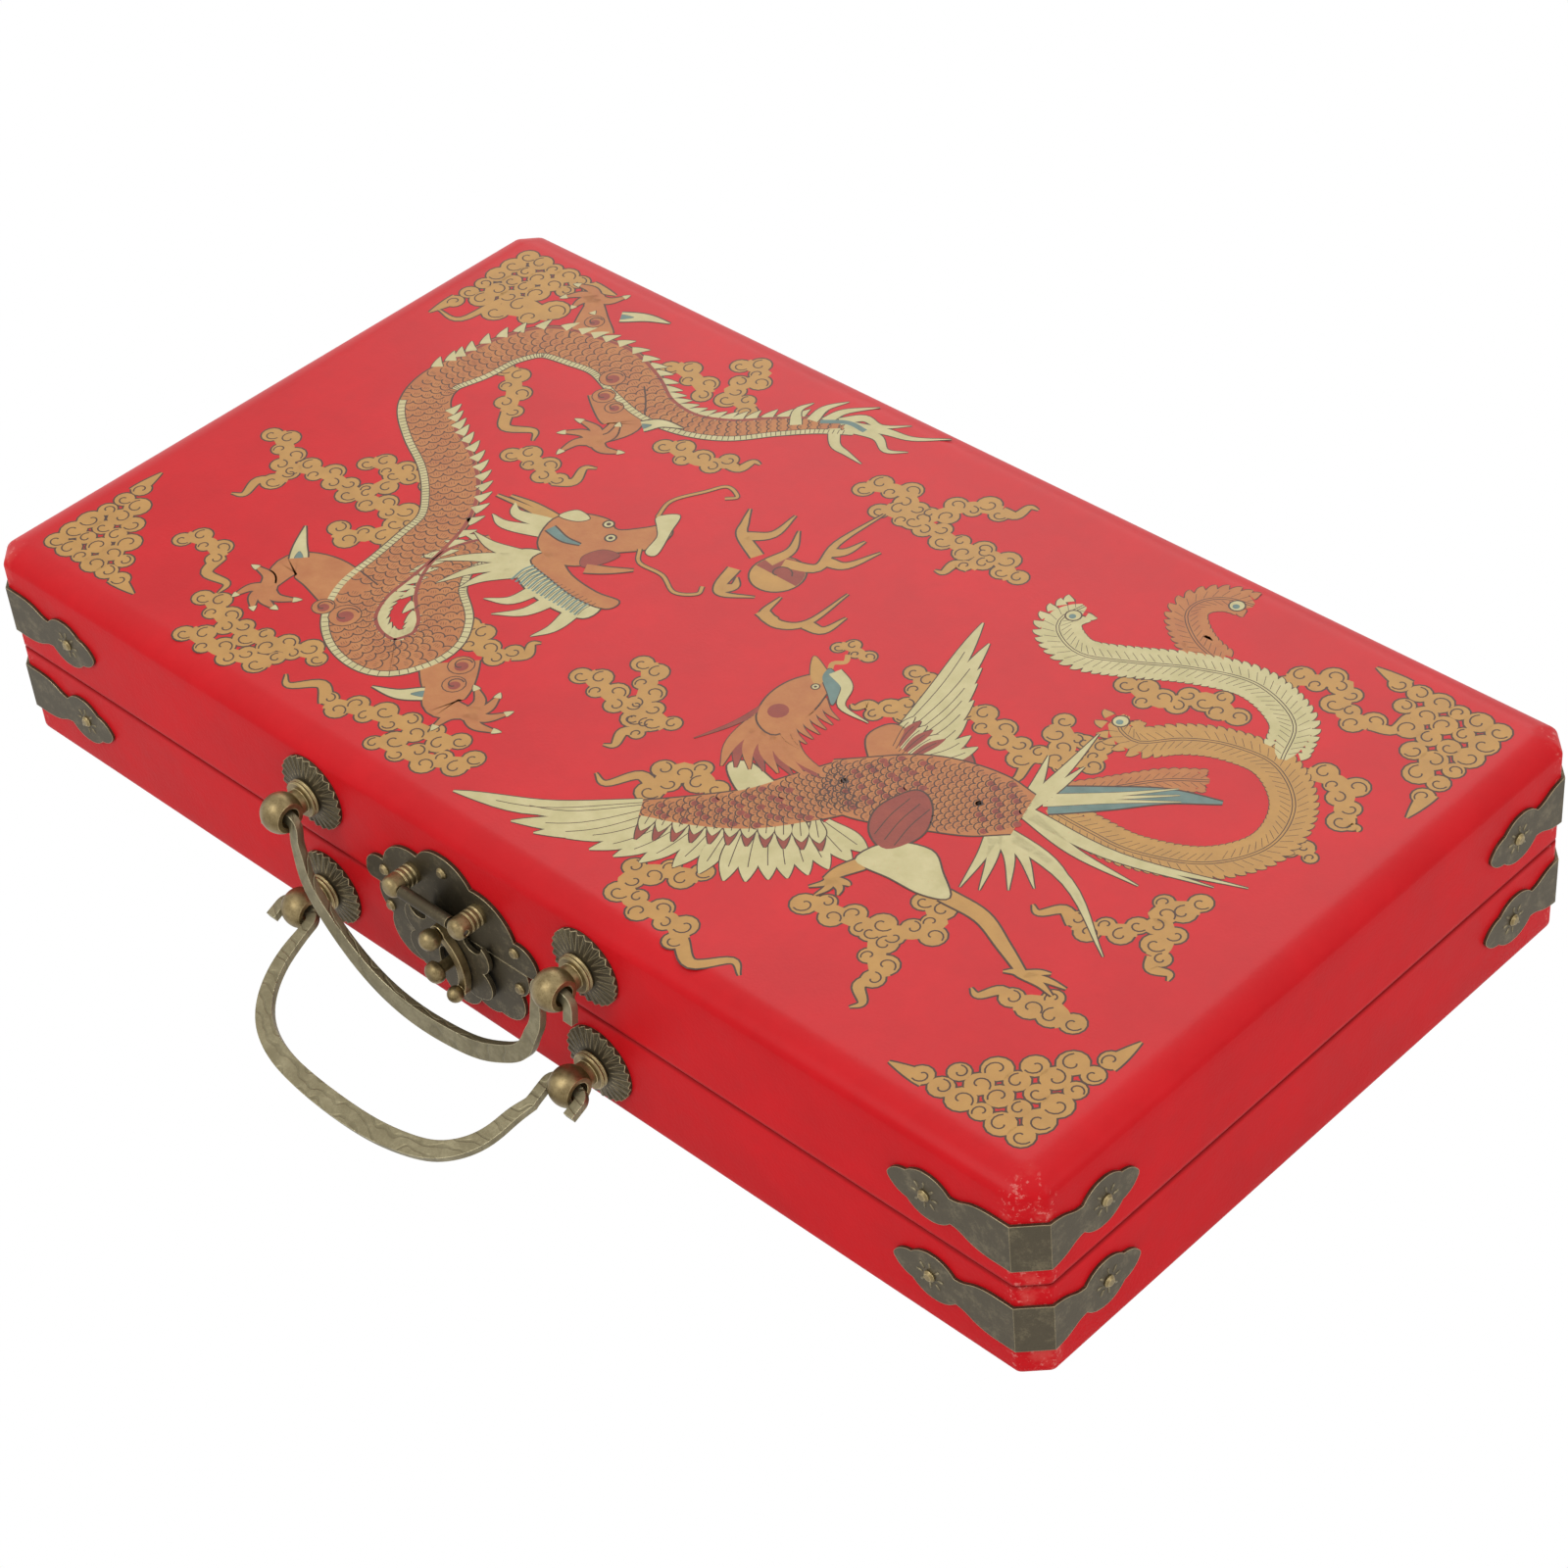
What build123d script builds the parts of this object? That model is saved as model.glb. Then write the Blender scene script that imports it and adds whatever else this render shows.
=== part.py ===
"""Clamshell case for a tile game: two equal leather-covered wooden trays hinged at the back.

Each half holds two lift-out drawers beside a middle well.  The front carries a bail handle on each
half and a hasp latch between them, and a metal bracket wraps each vertical corner.
Millimetres.  X runs along the case, -Y is the handle side, Z is up, origin under the middle.
"""

from build123d import *
from math import acos, atan2, cos, degrees, hypot, radians, sin, sqrt
import os

# ---------------------------------------------------------------- driving dimensions
case_length = 350.0
case_width = 189.0
case_height = 60.5
seam_gap = 0.3
corner_chamfer = 5.6

leather_thickness = 0.8
panel_thickness = 5.2
rail_thickness = 8.0
lining_thickness = 0.5
divider_thickness = 3.0
divider_below_rim = 3.0

# The top and bottom edges are eased by a shallow bevel whose two corners are rounded.
edge_bevel_drop = 2.2
edge_bevel_run = 5.0
edge_side_radius = 3.6
edge_face_radius = 13.0

# Drawers, each for a block of tiles laid flat.
tile_width = 19.0
tile_length = 26.0
tiles_across = 6
tiles_deep = 6
tile_slack = 1.0
drawer_wall = 2.0
drawer_floor = 1.6
drawer_below_rim = 3.2
drawer_side_clearance = 0.3
drawer_corner_radius = 1.5
finger_notch_radius = 11.0
finger_notch_depth = 9.0

# Nails: a round head on a square shank.
nail_head_radius = 1.5
nail_head_height = 0.9
nail_head_bevel = 0.55
nail_shank_side = 1.1
nail_length = 5.0

# Corner brackets.
bracket_thickness = 0.8
bracket_from_seam = 12.5
bracket_half_height = 6.8
bracket_long_arm = 39.5
bracket_side_arm = 33.0
bracket_neck_half = 3.9
bracket_cusp_half = 4.1
bracket_nail_from_tip = 10.5

# Handles: fluted rosette, eye post ending in a bead, and a flat forged bail hooked through both.
fittings_offset = -3.2
handle_half_span = 47.0
lower_handle_below_seam = 14.6
upper_handle_above_seam = 15.8
rosette_radius = 10.1
rosette_flutes = 26
rosette_rim = 1.2
rosette_rise = 1.1
rosette_hub_radius = 4.2
post_shank_radius = 1.6
post_shank_length = 7.0
collar_radius = 4.9
collar_thickness = 2.0
collar_bevel = 0.35
post_neck_radius = 3.1
bead_radius = 5.1
bead_half_width = 3.4
bead_from_face = 10.1
eye_clearance = 0.85

bail_thickness = 2.0
bail_grip_width = 5.2
bail_end_width = 2.8
bail_depth = 34.0
bail_beside_eye = 1.95
bail_bend_radius = 2.3
bail_leg_straight = 4.2
bail_tip = 6.0
upper_bail_angle = 8.0
bail_table_clearance = 0.15

# The grips were bent by hand, so their centre lines are lopsided: shares of the leg's x and the depth.
upper_bail_line = [
    (-0.985, 0.22),
    (-0.92, 0.44),
    (-0.755, 0.645),
    (-0.525, 0.83),
    (-0.265, 0.955),
    (0.0, 1.0),
    (0.285, 0.98),
    (0.525, 0.92),
    (0.74, 0.80),
    (0.915, 0.61),
    (0.985, 0.38),
]
lower_bail_line = [
    (-0.99, 0.38),
    (-0.925, 0.625),
    (-0.82, 0.79),
    (-0.645, 0.91),
    (-0.36, 0.98),
    (0.0, 1.0),
    (0.29, 0.985),
    (0.525, 0.935),
    (0.72, 0.845),
    (0.85, 0.705),
    (0.93, 0.515),
    (0.98, 0.31),
]

# Latch.
plate_thickness = 1.0
upper_plate_half_width = 29.6
lower_plate_half_width = 26.0
barrel_half_span = 11.3
barrel_radius = 2.75
barrel_rings = 3
barrel_ring_depth = 0.3
barrel_beyond_pin = 2.1
barrel_above_seam = 11.1
hasp_pin_radius = 0.8
hasp_pin_from_face = 7.2
knuckle_wall = 0.75
running_clearance = 0.05
hasp_end_clearance = 0.3
hasp_thickness = 1.2
hasp_clearance = 0.9
hasp_neck_half_width = 6.6
hasp_bottom_below_seam = 15.4
slot_half_width = 3.7
slot_above_knob = 0.7
knob_below_seam = 9.2
knob_neck_radius = 1.45
knob_head_radius = 2.8
knob_head_clearance = 1.3
knob_head_length = 3.2
lever_above_seam = 1.1
lever_thickness = 2.0
lever_clearance = 0.3
lever_rivet_clearance = 0.15
rivet_ball_radius = 2.7
lever_half_width = 1.2
lever_boss_radius = 2.3
lever_pin_radius = 1.1
lever_ball_radius = 2.1
lever_ball_x = 5.3
lever_ball_below_pivot = 14.7
lever_bulge = 3.2

# Butt hinges on the back face.
hinge_half_span = 105.0
hinge_width = 34.0
hinge_leaf_height = 13.5
hinge_leaf_thickness = 1.0
hinge_leaf_clearance = 0.8
hinge_leaf_corner = 3.0
hinge_knuckle_radius = 2.5
hinge_pin_radius = 1.2
hinge_knuckle_clearance = 0.45
hinge_knuckles = 5
hinge_knuckle_gap = 0.3

# ---------------------------------------------------------------- derived places
seam_z = case_height / 2
half_height = (case_height - seam_gap) / 2
face_y = -case_width / 2
cover_height = leather_thickness + panel_thickness
wall_outside = leather_thickness + rail_thickness
inside_length = case_length - 2 * wall_outside
inside_width = case_width - 2 * wall_outside
lined_length = inside_length - 2 * lining_thickness
lined_width = inside_width - 2 * lining_thickness
floor_z = cover_height + lining_thickness
drawer_length = tiles_across * tile_width + tile_slack + 2 * drawer_wall
drawer_width = tiles_deep * tile_length + tile_slack + 2 * drawer_wall
drawer_x = lined_length / 2 - drawer_side_clearance - drawer_length / 2
divider_x = drawer_x - drawer_length / 2 - drawer_side_clearance - divider_thickness / 2
eye_radius = hypot(bail_end_width, bail_thickness) / 2 + eye_clearance
bail_leg_x = handle_half_span - bead_half_width - bail_beside_eye
bail_hook_x = handle_half_span + bead_half_width + bail_beside_eye
barrel_length = hasp_pin_from_face + barrel_beyond_pin
knuckle_radius = hasp_pin_radius + running_clearance + knuckle_wall
hasp_from_face = plate_thickness + hasp_clearance
lever_from_face = hasp_from_face + hasp_thickness + lever_clearance
knob_head_start = lever_from_face + lever_thickness + knob_head_clearance
hinge_axis_from_face = hinge_knuckle_radius + hinge_knuckle_clearance
hinge_leaf_from_axis = hinge_knuckle_radius + hinge_leaf_clearance
front_plane = Plane(origin=(fittings_offset, face_y, 0), x_dir=(1, 0, 0), z_dir=(0, -1, 0))
back_plane = Plane(origin=(0, -face_y, 0), x_dir=(-1, 0, 0), z_dir=(0, 1, 0))
seam_plane = Plane.XY.offset(seam_z)

nodes = {}


def flip(part):
    """The same piece of the other half: the lid is the base mirrored across the seam."""
    return mirror(part, about=seam_plane)


def block(size_x, size_y, low, high, x=0.0, y=0.0):
    """Plain box from height low to height high, centred on x, y."""
    box = Box(size_x, size_y, high - low, align=(Align.CENTER, Align.CENTER, Align.MIN))
    return Pos(x, y, low) * box


def footprint(inset):
    """Plan outline of the case with its chamfered corners, moved inwards by inset."""
    plan = Rectangle(case_length - 2 * inset, case_width - 2 * inset)
    leg = corner_chamfer - inset * (2 - sqrt(2))
    return chamfer(plan.vertices(), length=leg)


def prism(inset, low, high):
    """Straight block over the case's plan outline."""
    return Pos(0, 0, low) * extrude(footprint(inset), amount=high - low)


def eased_prism(inset, low, high):
    """The same block with its lower rim bevelled and both corners of the bevel rounded."""
    solid = prism(inset, low, high)
    bottom = solid.faces().sort_by(Axis.Z)[0]
    solid = chamfer(bottom.edges(), length=edge_bevel_run, length2=edge_bevel_drop, reference=bottom)
    upper_rim = solid.edges().filter_by_position(
        Axis.Z, low + edge_bevel_drop - 0.01, low + edge_bevel_drop + 0.01
    )
    solid = fillet(upper_rim, radius=edge_side_radius)
    return fillet(solid.faces().sort_by(Axis.Z)[0].edges(), radius=edge_face_radius)


def nail():
    """Domed nail standing on its head's underside, shank down along -Z."""
    head = extrude(Circle(nail_head_radius), amount=nail_head_height)
    head = chamfer(head.edges().sort_by(Axis.Z)[-1], length=nail_head_bevel)
    shank = extrude(Rectangle(nail_shank_side, nail_shank_side), amount=-nail_length)
    return head + shank


def nail_hole(depth=nail_length):
    """Square hole for a nail's shank, open above the surface."""
    return Box(nail_shank_side, nail_shank_side, 2 * depth)


def group(parts):
    """Separate solids of one kind kept together."""
    return Compound(children=list(parts))


# ---------------------------------------------------------------- wooden halves and their covers
def rails():
    """Four rails round a half: front and back run the full length, the sides fit between."""
    wood = prism(leather_thickness, cover_height, half_height - leather_thickness)
    wood -= block(inside_length, inside_width, 0, case_height)
    side_band = block(case_length, inside_width, 0, case_height)
    long_rails = (wood - side_band).solids().sort_by(Axis.Y)
    side_rails = (wood & side_band).solids().sort_by(Axis.X)
    return {
        "front_rail": long_rails[0],
        "back_rail": long_rails[-1],
        "left_rail": side_rails[0],
        "right_rail": side_rails[-1],
    }


def panel_cover():
    """Leather sheet over the panel, drawn over its eased edge down to the joint with the walls."""
    skin = eased_prism(0, 0, cover_height)
    return skin - eased_prism(leather_thickness, leather_thickness, cover_height)


def wall_cover():
    """Leather strip round the rails, turned over their rim as far as the lining."""
    skin = prism(0, cover_height, half_height)
    skin -= prism(leather_thickness, cover_height, half_height - leather_thickness)
    return skin - block(inside_length, inside_width, 0, case_height)


def lining():
    """Thin cloth-faced lining on the floor and inner walls."""
    outside = block(inside_length, inside_width, cover_height, half_height)
    return outside - block(lined_length, lined_width, floor_z, case_height)


def dividers():
    """Two boards from front to back that part the drawers from the middle well."""
    top = half_height - divider_below_rim
    board = block(divider_thickness, lined_width, floor_z, top)
    return group([Pos(-divider_x, 0, 0) * board, Pos(divider_x, 0, 0) * board])


def drawer(x):
    """Open tray for one block of tiles, with a finger notch in its front and back walls."""
    top = half_height - drawer_below_rim
    tray = block(drawer_length, drawer_width, floor_z, top, x)
    tray = fillet(tray.edges().filter_by(Axis.Z), radius=drawer_corner_radius)
    inner_x = drawer_length - 2 * drawer_wall
    inner_y = drawer_width - 2 * drawer_wall
    tray -= block(inner_x, inner_y, floor_z + drawer_floor, case_height, x)
    notch = Cylinder(finger_notch_radius, drawer_width * 2, rotation=(90, 0, 0))
    return tray - Pos(x, 0, top - finger_notch_depth + finger_notch_radius) * notch


# ---------------------------------------------------------------- corner brackets
def bracket_profile(arm):
    """Arm outline seen square on: straight band, narrow neck, lobed end with a blunt point."""
    neck = arm - 17.5
    cusp = arm - 5.3
    lobe = (neck + cusp) / 2
    point = (arm, 0.4)
    upper = [
        Line((-bracket_thickness, bracket_half_height), (neck - 12, bracket_half_height)),
        Spline(
            (neck - 12, bracket_half_height),
            (neck - 5, (bracket_half_height + bracket_neck_half) / 2 + 0.2),
            (neck, bracket_neck_half),
            tangents=[(1, 0), (1, 0)],
        ),
        ThreePointArc(
            (neck, bracket_neck_half), (lobe - 1.5, bracket_half_height - 0.1), (cusp, bracket_cusp_half)
        ),
        ThreePointArc((cusp, bracket_cusp_half), (arm - 2.2, bracket_neck_half - 0.9), point),
    ]
    lower = [mirror(edge, about=Plane.XZ) for edge in upper]
    closing = [
        Line((arm, 0.4), (arm, -0.4)),
        Line((-bracket_thickness, -bracket_half_height), (-bracket_thickness, bracket_half_height)),
    ]
    return make_face(upper + lower + closing)


def bracket_nail_places():
    """Nail places of the front right lower bracket: one through each arm."""
    front_x = case_length / 2 - bracket_long_arm + bracket_nail_from_tip
    side_y = face_y + bracket_side_arm - bracket_nail_from_tip
    z = seam_z - bracket_from_seam
    front = Plane(origin=(front_x, face_y - bracket_thickness, z), x_dir=(1, 0, 0), z_dir=(0, -1, 0))
    side = Plane(
        origin=(case_length / 2 + bracket_thickness, side_y, z), x_dir=(0, 1, 0), z_dir=(1, 0, 0)
    )
    return [front.location, side.location]


def bracket():
    """Front right lower bracket: a lobed strip bent round the chamfered corner, with nail holes."""
    x_face = case_length / 2
    t = bracket_thickness
    inner_leg = corner_chamfer
    outer_leg = corner_chamfer + t * (2 - sqrt(2))
    plan = Polygon(
        (x_face - bracket_long_arm, face_y - t),
        (x_face + t - outer_leg, face_y - t),
        (x_face + t, face_y - t + outer_leg),
        (x_face + t, face_y + bracket_side_arm),
        (x_face, face_y + bracket_side_arm),
        (x_face, face_y + inner_leg),
        (x_face - inner_leg, face_y),
        (x_face - bracket_long_arm, face_y),
        align=None,
    )
    z = seam_z - bracket_from_seam
    strip = Pos(0, 0, z - bracket_half_height) * extrude(plan, amount=2 * bracket_half_height)
    front = Plane(origin=(x_face, face_y, z), x_dir=(-1, 0, 0), z_dir=(0, 1, 0))
    side = Plane(origin=(x_face, face_y, z), x_dir=(0, 1, 0), z_dir=(1, 0, 0))
    for plane, arm in ((front, bracket_long_arm), (side, bracket_side_arm)):
        waste = Pos(arm / 2 + 3, 0) * Rectangle(arm, 3 * bracket_half_height)
        waste -= bracket_profile(arm)
        strip -= extrude(plane * waste, amount=t, both=True)
    for place in bracket_nail_places():
        strip -= place * nail_hole()
    return strip


# ---------------------------------------------------------------- handles
def rosette():
    """Shallow cone pleated by radial V grooves that run out through the rim."""
    profile = Polygon(
        (post_shank_radius, 0),
        (rosette_radius, 0),
        (rosette_radius, rosette_rim),
        (rosette_hub_radius, rosette_rim + rosette_rise),
        (post_shank_radius, rosette_rim + rosette_rise),
        align=None,
    )
    disc = revolve(Plane.XZ * profile, axis=Axis.Z)
    pitch = radians(360 / rosette_flutes)
    half_width = rosette_radius * sin(pitch / 2) * 0.98
    start = Plane(origin=(rosette_radius + 0.1, 0, rosette_rim + 0.1), x_dir=(0, 1, 0), z_dir=(1, 0, 0))
    groove_end = Vertex(rosette_hub_radius + 0.3, 0, rosette_rim + rosette_rise + 0.1)
    section = start * Polygon((-half_width, 0), (half_width, 0), (0, -rosette_rim * 0.8), align=None)
    groove = loft([section, groove_end])
    return disc - [Rot(0, 0, i * 360 / rosette_flutes) * groove for i in range(rosette_flutes)]


def handle_post():
    """Turned eye post: shank, double collar, waist and a bead with flat cheeks and a cross hole."""
    hub = rosette_rim + rosette_rise
    shank = Pos(0, 0, -post_shank_length) * extrude(
        Circle(post_shank_radius), amount=post_shank_length + hub + 1
    )
    ring = extrude(Circle(collar_radius), amount=collar_thickness / 2)
    ring = chamfer(ring.edges(), length=collar_bevel)
    collar = Pos(0, 0, hub) * ring + Pos(0, 0, hub + collar_thickness / 2) * ring
    neck = Pos(0, 0, hub) * extrude(Circle(post_neck_radius), amount=bead_from_face - hub)
    bead = Sphere(bead_radius) & Box(2 * bead_half_width, 3 * bead_radius, 3 * bead_radius)
    post = shank + collar + neck + Pos(0, 0, bead_from_face) * bead
    return post - Pos(0, 0, bead_from_face) * Cylinder(eye_radius, 4 * bead_radius, rotation=(0, 90, 0))


def bail_hook():
    """Flat strip of the right end: out of the leg, outwards through the eye and down to its tip."""
    bend = bail_bend_radius
    turn = bend * (1 - sqrt(0.5))
    x_in = bail_leg_x
    x_out = bail_hook_x
    path = [
        Line((x_in, -bail_leg_straight), (x_in, -bend)),
        ThreePointArc((x_in, -bend), (x_in + turn, -turn), (x_in + bend, 0)),
        Line((x_in + bend, 0), (x_out - bend, 0)),
        ThreePointArc((x_out - bend, 0), (x_out - turn, -turn), (x_out, -bend)),
        Line((x_out, -bend), (x_out, -bail_tip)),
    ]
    return trace(path, line_width=bail_end_width)


def bail_face(line):
    """Flat outline of a bail: grip along its bent centre line, swelling to the middle, and two hooks."""
    points = [(-bail_leg_x, -bail_leg_straight)]
    points += [(x * bail_leg_x, -depth * bail_depth) for x, depth in line]
    points.append((bail_leg_x, -bail_leg_straight))
    centre = Spline(points, tangents=[(0, -1), (0, 1)])
    steps = 28
    outer = []
    inner = []
    for i in range(steps + 1):
        share = i / steps
        swell = sin(radians(180 * share)) ** 0.8
        half = (bail_end_width + (bail_grip_width - bail_end_width) * swell) / 2
        point = centre @ share
        along = centre % share
        across = Vector(along.Y, -along.X, 0) * half
        outer.append(point + across)
        inner.append(point - across)
    grip = make_face(
        [
            Spline(outer, tangents=[(0, -1), (0, 1)]),
            Line(outer[-1], inner[-1]),
            Spline(inner, tangents=[(0, -1), (0, 1)]),
            Line(inner[0], outer[0]),
        ]
    )
    right = bail_hook()
    return grip + right + mirror(right, about=Plane.YZ)


def bail(pivot_z, angle, line):
    """One bail hung from its two eyes; the angle is measured outwards from hanging straight down."""
    lean = radians(angle)
    plane = Plane(
        origin=(fittings_offset, face_y - bead_from_face, pivot_z),
        x_dir=(1, 0, 0),
        z_dir=(0, -cos(lean), sin(lean)),
    )
    return extrude(plane * bail_face(line), amount=bail_thickness / 2, both=True)


def resting_angle(pivot_z):
    """The lean at which the grip's lower outer corner just clears the table."""
    reach = bail_depth + bail_grip_width / 2
    corner = hypot(reach, bail_thickness / 2)
    tilt = degrees(atan2(bail_thickness / 2, reach))
    return degrees(acos((pivot_z - bail_table_clearance) / corner)) + tilt


# ---------------------------------------------------------------- latch
def mirrored_face(right_edges):
    """Closed face from the right half of an outline that starts and ends on the centre line."""
    return make_face(right_edges + [mirror(edge, about=Plane.YZ) for edge in right_edges])


def upper_plate():
    """Cloud-shaped back plate on the lid: a tall middle lobe, a side lobe and a leaf each side."""
    low = seam_z + seam_gap / 2
    w = upper_plate_half_width
    outline = [
        ThreePointArc((0, low + 21.9), (5.6, low + 20.5), (9.2, low + 16.8)),
        ThreePointArc((9.2, low + 16.8), (17.6, low + 15.2), (22.6, low + 8.2)),
        ThreePointArc((22.6, low + 8.2), (27.4, low + 7.2), (w, low + 3.0)),
        ThreePointArc((w, low + 3.0), (w + 0.1, low + 1.4), (w - 1.0, low)),
        Line((w - 1.0, low), (0, low)),
    ]
    return extrude(front_plane * mirrored_face(outline), amount=plate_thickness)


def lower_plate():
    """Back plate on the base: two lobes each side and a small one at the foot."""
    top = seam_z - seam_gap / 2
    w = lower_plate_half_width
    outline = [
        Line((0, top), (w - 0.5, top)),
        ThreePointArc((w - 0.5, top), (w - 0.4, top - 4.5), (w - 3.6, top - 8.2)),
        ThreePointArc((w - 3.6, top - 8.2), (w - 4.8, top - 16.2), (w - 12.2, top - 18.6)),
        ThreePointArc((w - 12.2, top - 18.6), (10.6, top - 19.9), (6.6, top - 19.0)),
        ThreePointArc((6.6, top - 19.0), (3.6, top - 22.4), (0, top - 23.4)),
    ]
    return extrude(front_plane * mirrored_face(outline), amount=plate_thickness)


upper_plate_nails = [(-22.5, 5.5), (0.0, 17.2), (22.5, 5.5)]
lower_plate_nails = [(-22.5, -5.8), (22.5, -5.8)]


def front_nail_places(points):
    """Nail places on a latch plate, measured from the plate's middle at the seam."""
    return [
        (front_plane * Pos(x, seam_z + z, plate_thickness)) for x, z in points
    ]


def barrel():
    """Turned post with rings and a domed end, a cross hole for the hasp pin and a tail behind."""
    length = barrel_length - plate_thickness
    body = extrude(Circle(barrel_radius), amount=length)
    body = fillet(body.edges().sort_by(Axis.Z)[-1], radius=barrel_radius * 0.65)
    pitch = (hasp_pin_from_face - plate_thickness - hasp_pin_radius) / (barrel_rings + 1)
    depth = barrel_ring_depth
    groove = Polygon(
        (barrel_radius - depth, 0),
        (barrel_radius + depth, -2 * depth),
        (barrel_radius + depth, 2 * depth),
        align=None,
    )
    ring_cut = revolve(Plane.XZ * groove, axis=Axis.Z)
    body -= [Pos(0, 0, (i + 1) * pitch) * ring_cut for i in range(barrel_rings)]
    tail = extrude(Circle(barrel_radius * 0.6), amount=-(plate_thickness + 3))
    hole = Cylinder(hasp_pin_radius, 4 * barrel_radius, rotation=(0, 90, 0))
    return body + tail - Pos(0, 0, hasp_pin_from_face - plate_thickness) * hole


def barrel_tail_hole():
    """Round hole for a barrel's tail."""
    return Cylinder(barrel_radius * 0.6, 2 * (plate_thickness + 3))


def knob():
    """Mushroom knob: neck through the plate and a domed head the lever hooks under."""
    neck = Pos(0, 0, -3) * extrude(Circle(knob_neck_radius), amount=knob_head_start + 3.5)
    head = Pos(0, 0, knob_head_start) * extrude(Circle(knob_head_radius), amount=knob_head_length)
    head = fillet(head.edges().sort_by(Axis.Z)[-1], radius=knob_head_radius * 0.7)
    return neck + chamfer(head.edges().sort_by(Axis.Z)[0], length=0.5)


hasp_pin_z = seam_z + barrel_above_seam
lever_z = seam_z + lever_above_seam
knob_z = seam_z - knob_below_seam


def hasp():
    """Hasp: rolled knuckle on its pin, sloping neck, lobed plate with an open slot for the knob."""
    knuckle_half = barrel_half_span - barrel_radius - hasp_end_clearance
    bottom = seam_z - hasp_bottom_below_seam
    shoulder = seam_z + 1.0
    neck_low = seam_z + 4.0
    slot_z = knob_z + slot_above_knob
    outline = [
        Line((0, neck_low), (hasp_neck_half_width, neck_low)),
        Line((hasp_neck_half_width, neck_low), (hasp_neck_half_width, shoulder)),
        ThreePointArc((hasp_neck_half_width, shoulder), (9.6, shoulder - 1.7), (12.6, shoulder + 1.2)),
        ThreePointArc((12.6, shoulder + 1.2), (14.6, shoulder - 2.6), (11.9, shoulder - 7.2)),
        ThreePointArc((11.9, shoulder - 7.2), (14.2, shoulder - 12.2), (10.6, bottom + 0.4)),
        ThreePointArc((10.6, bottom + 0.4), (7.0, bottom - 0.3), (slot_half_width, bottom + 1.4)),
        Line((slot_half_width, bottom + 1.4), (slot_half_width, slot_z)),
        ThreePointArc(
            (slot_half_width, slot_z),
            (slot_half_width * sqrt(0.5), slot_z + slot_half_width * sqrt(0.5)),
            (0, slot_z + slot_half_width),
        ),
    ]
    plate = Pos(0, -hasp_from_face, 0) * extrude(front_plane * mirrored_face(outline), amount=hasp_thickness)
    side = Plane(
        origin=(fittings_offset - hasp_neck_half_width, face_y, 0), x_dir=(0, -1, 0), z_dir=(1, 0, 0)
    )
    slope = make_face(
        Polyline(
            (hasp_from_face, -neck_low),
            (hasp_from_face + hasp_thickness, -neck_low),
            (hasp_pin_from_face + knuckle_radius, -hasp_pin_z),
            (hasp_pin_from_face + knuckle_radius - hasp_thickness, -hasp_pin_z),
            (hasp_from_face, -neck_low),
        )
    )
    neck = extrude(side * slope, amount=2 * hasp_neck_half_width)
    middle = Pos(fittings_offset, face_y - hasp_pin_from_face, hasp_pin_z)
    knuckle = middle * Cylinder(knuckle_radius, 2 * knuckle_half, rotation=(0, 90, 0))
    bore = middle * Cylinder(
        hasp_pin_radius + running_clearance, 2 * knuckle_half + 2, rotation=(0, 90, 0)
    )
    rivet_hole = front_plane * Pos(0, lever_z, 0) * Cylinder(lever_pin_radius, 20)
    return plate + neck + knuckle - bore - (rivet_hole & plate)


def hasp_pin():
    """Straight pin held in both barrels."""
    length = 2 * (barrel_half_span + barrel_radius * 0.8)
    pin = Cylinder(hasp_pin_radius, length, rotation=(0, 90, 0))
    return Pos(fittings_offset, face_y - hasp_pin_from_face, hasp_pin_z) * pin


def lever():
    """Crescent hook: boss on its rivet, curved arm, ball at the free end."""
    end = (lever_ball_x, -lever_ball_below_pivot)
    length = hypot(*end)
    side_x = lever_ball_below_pivot / length
    side_z = lever_ball_x / length
    middle = (end[0] / 2 + lever_bulge * side_x, end[1] / 2 + lever_bulge * side_z)
    arm = trace([ThreePointArc((0, 0), middle, end)], line_width=2 * lever_half_width)
    face = arm + Circle(lever_boss_radius) + Pos(*end) * Circle(lever_half_width * 1.25)
    body = extrude(face, amount=lever_thickness)
    body += Pos(end[0], end[1], lever_thickness + lever_ball_radius * 0.8) * Sphere(lever_ball_radius)
    body -= Cylinder(lever_pin_radius + running_clearance, 4 * lever_thickness)
    return front_plane * Pos(0, lever_z, lever_from_face) * body


def lever_rivet():
    """Ball-headed rivet that holds the lever to the hasp."""
    ball_base = lever_from_face + lever_thickness + lever_rivet_clearance
    shank = Pos(0, 0, hasp_from_face) * extrude(
        Circle(lever_pin_radius), amount=ball_base - hasp_from_face + 1
    )
    ball = Pos(0, 0, ball_base + rivet_ball_radius * 0.8) * Sphere(rivet_ball_radius)
    below = Pos(0, 0, ball_base - 10) * extrude(Circle(2 * rivet_ball_radius), amount=10)
    return front_plane * Pos(0, lever_z, 0) * (shank + (ball - below))


# ---------------------------------------------------------------- back hinges
def knuckle_span(index):
    """Start and end along the hinge of one knuckle."""
    pitch = hinge_width / hinge_knuckles
    start = -hinge_width / 2 + index * pitch
    low = start + (hinge_knuckle_gap / 2 if index else 0)
    high = start + pitch - (hinge_knuckle_gap / 2 if index < hinge_knuckles - 1 else 0)
    return low, high


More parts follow.
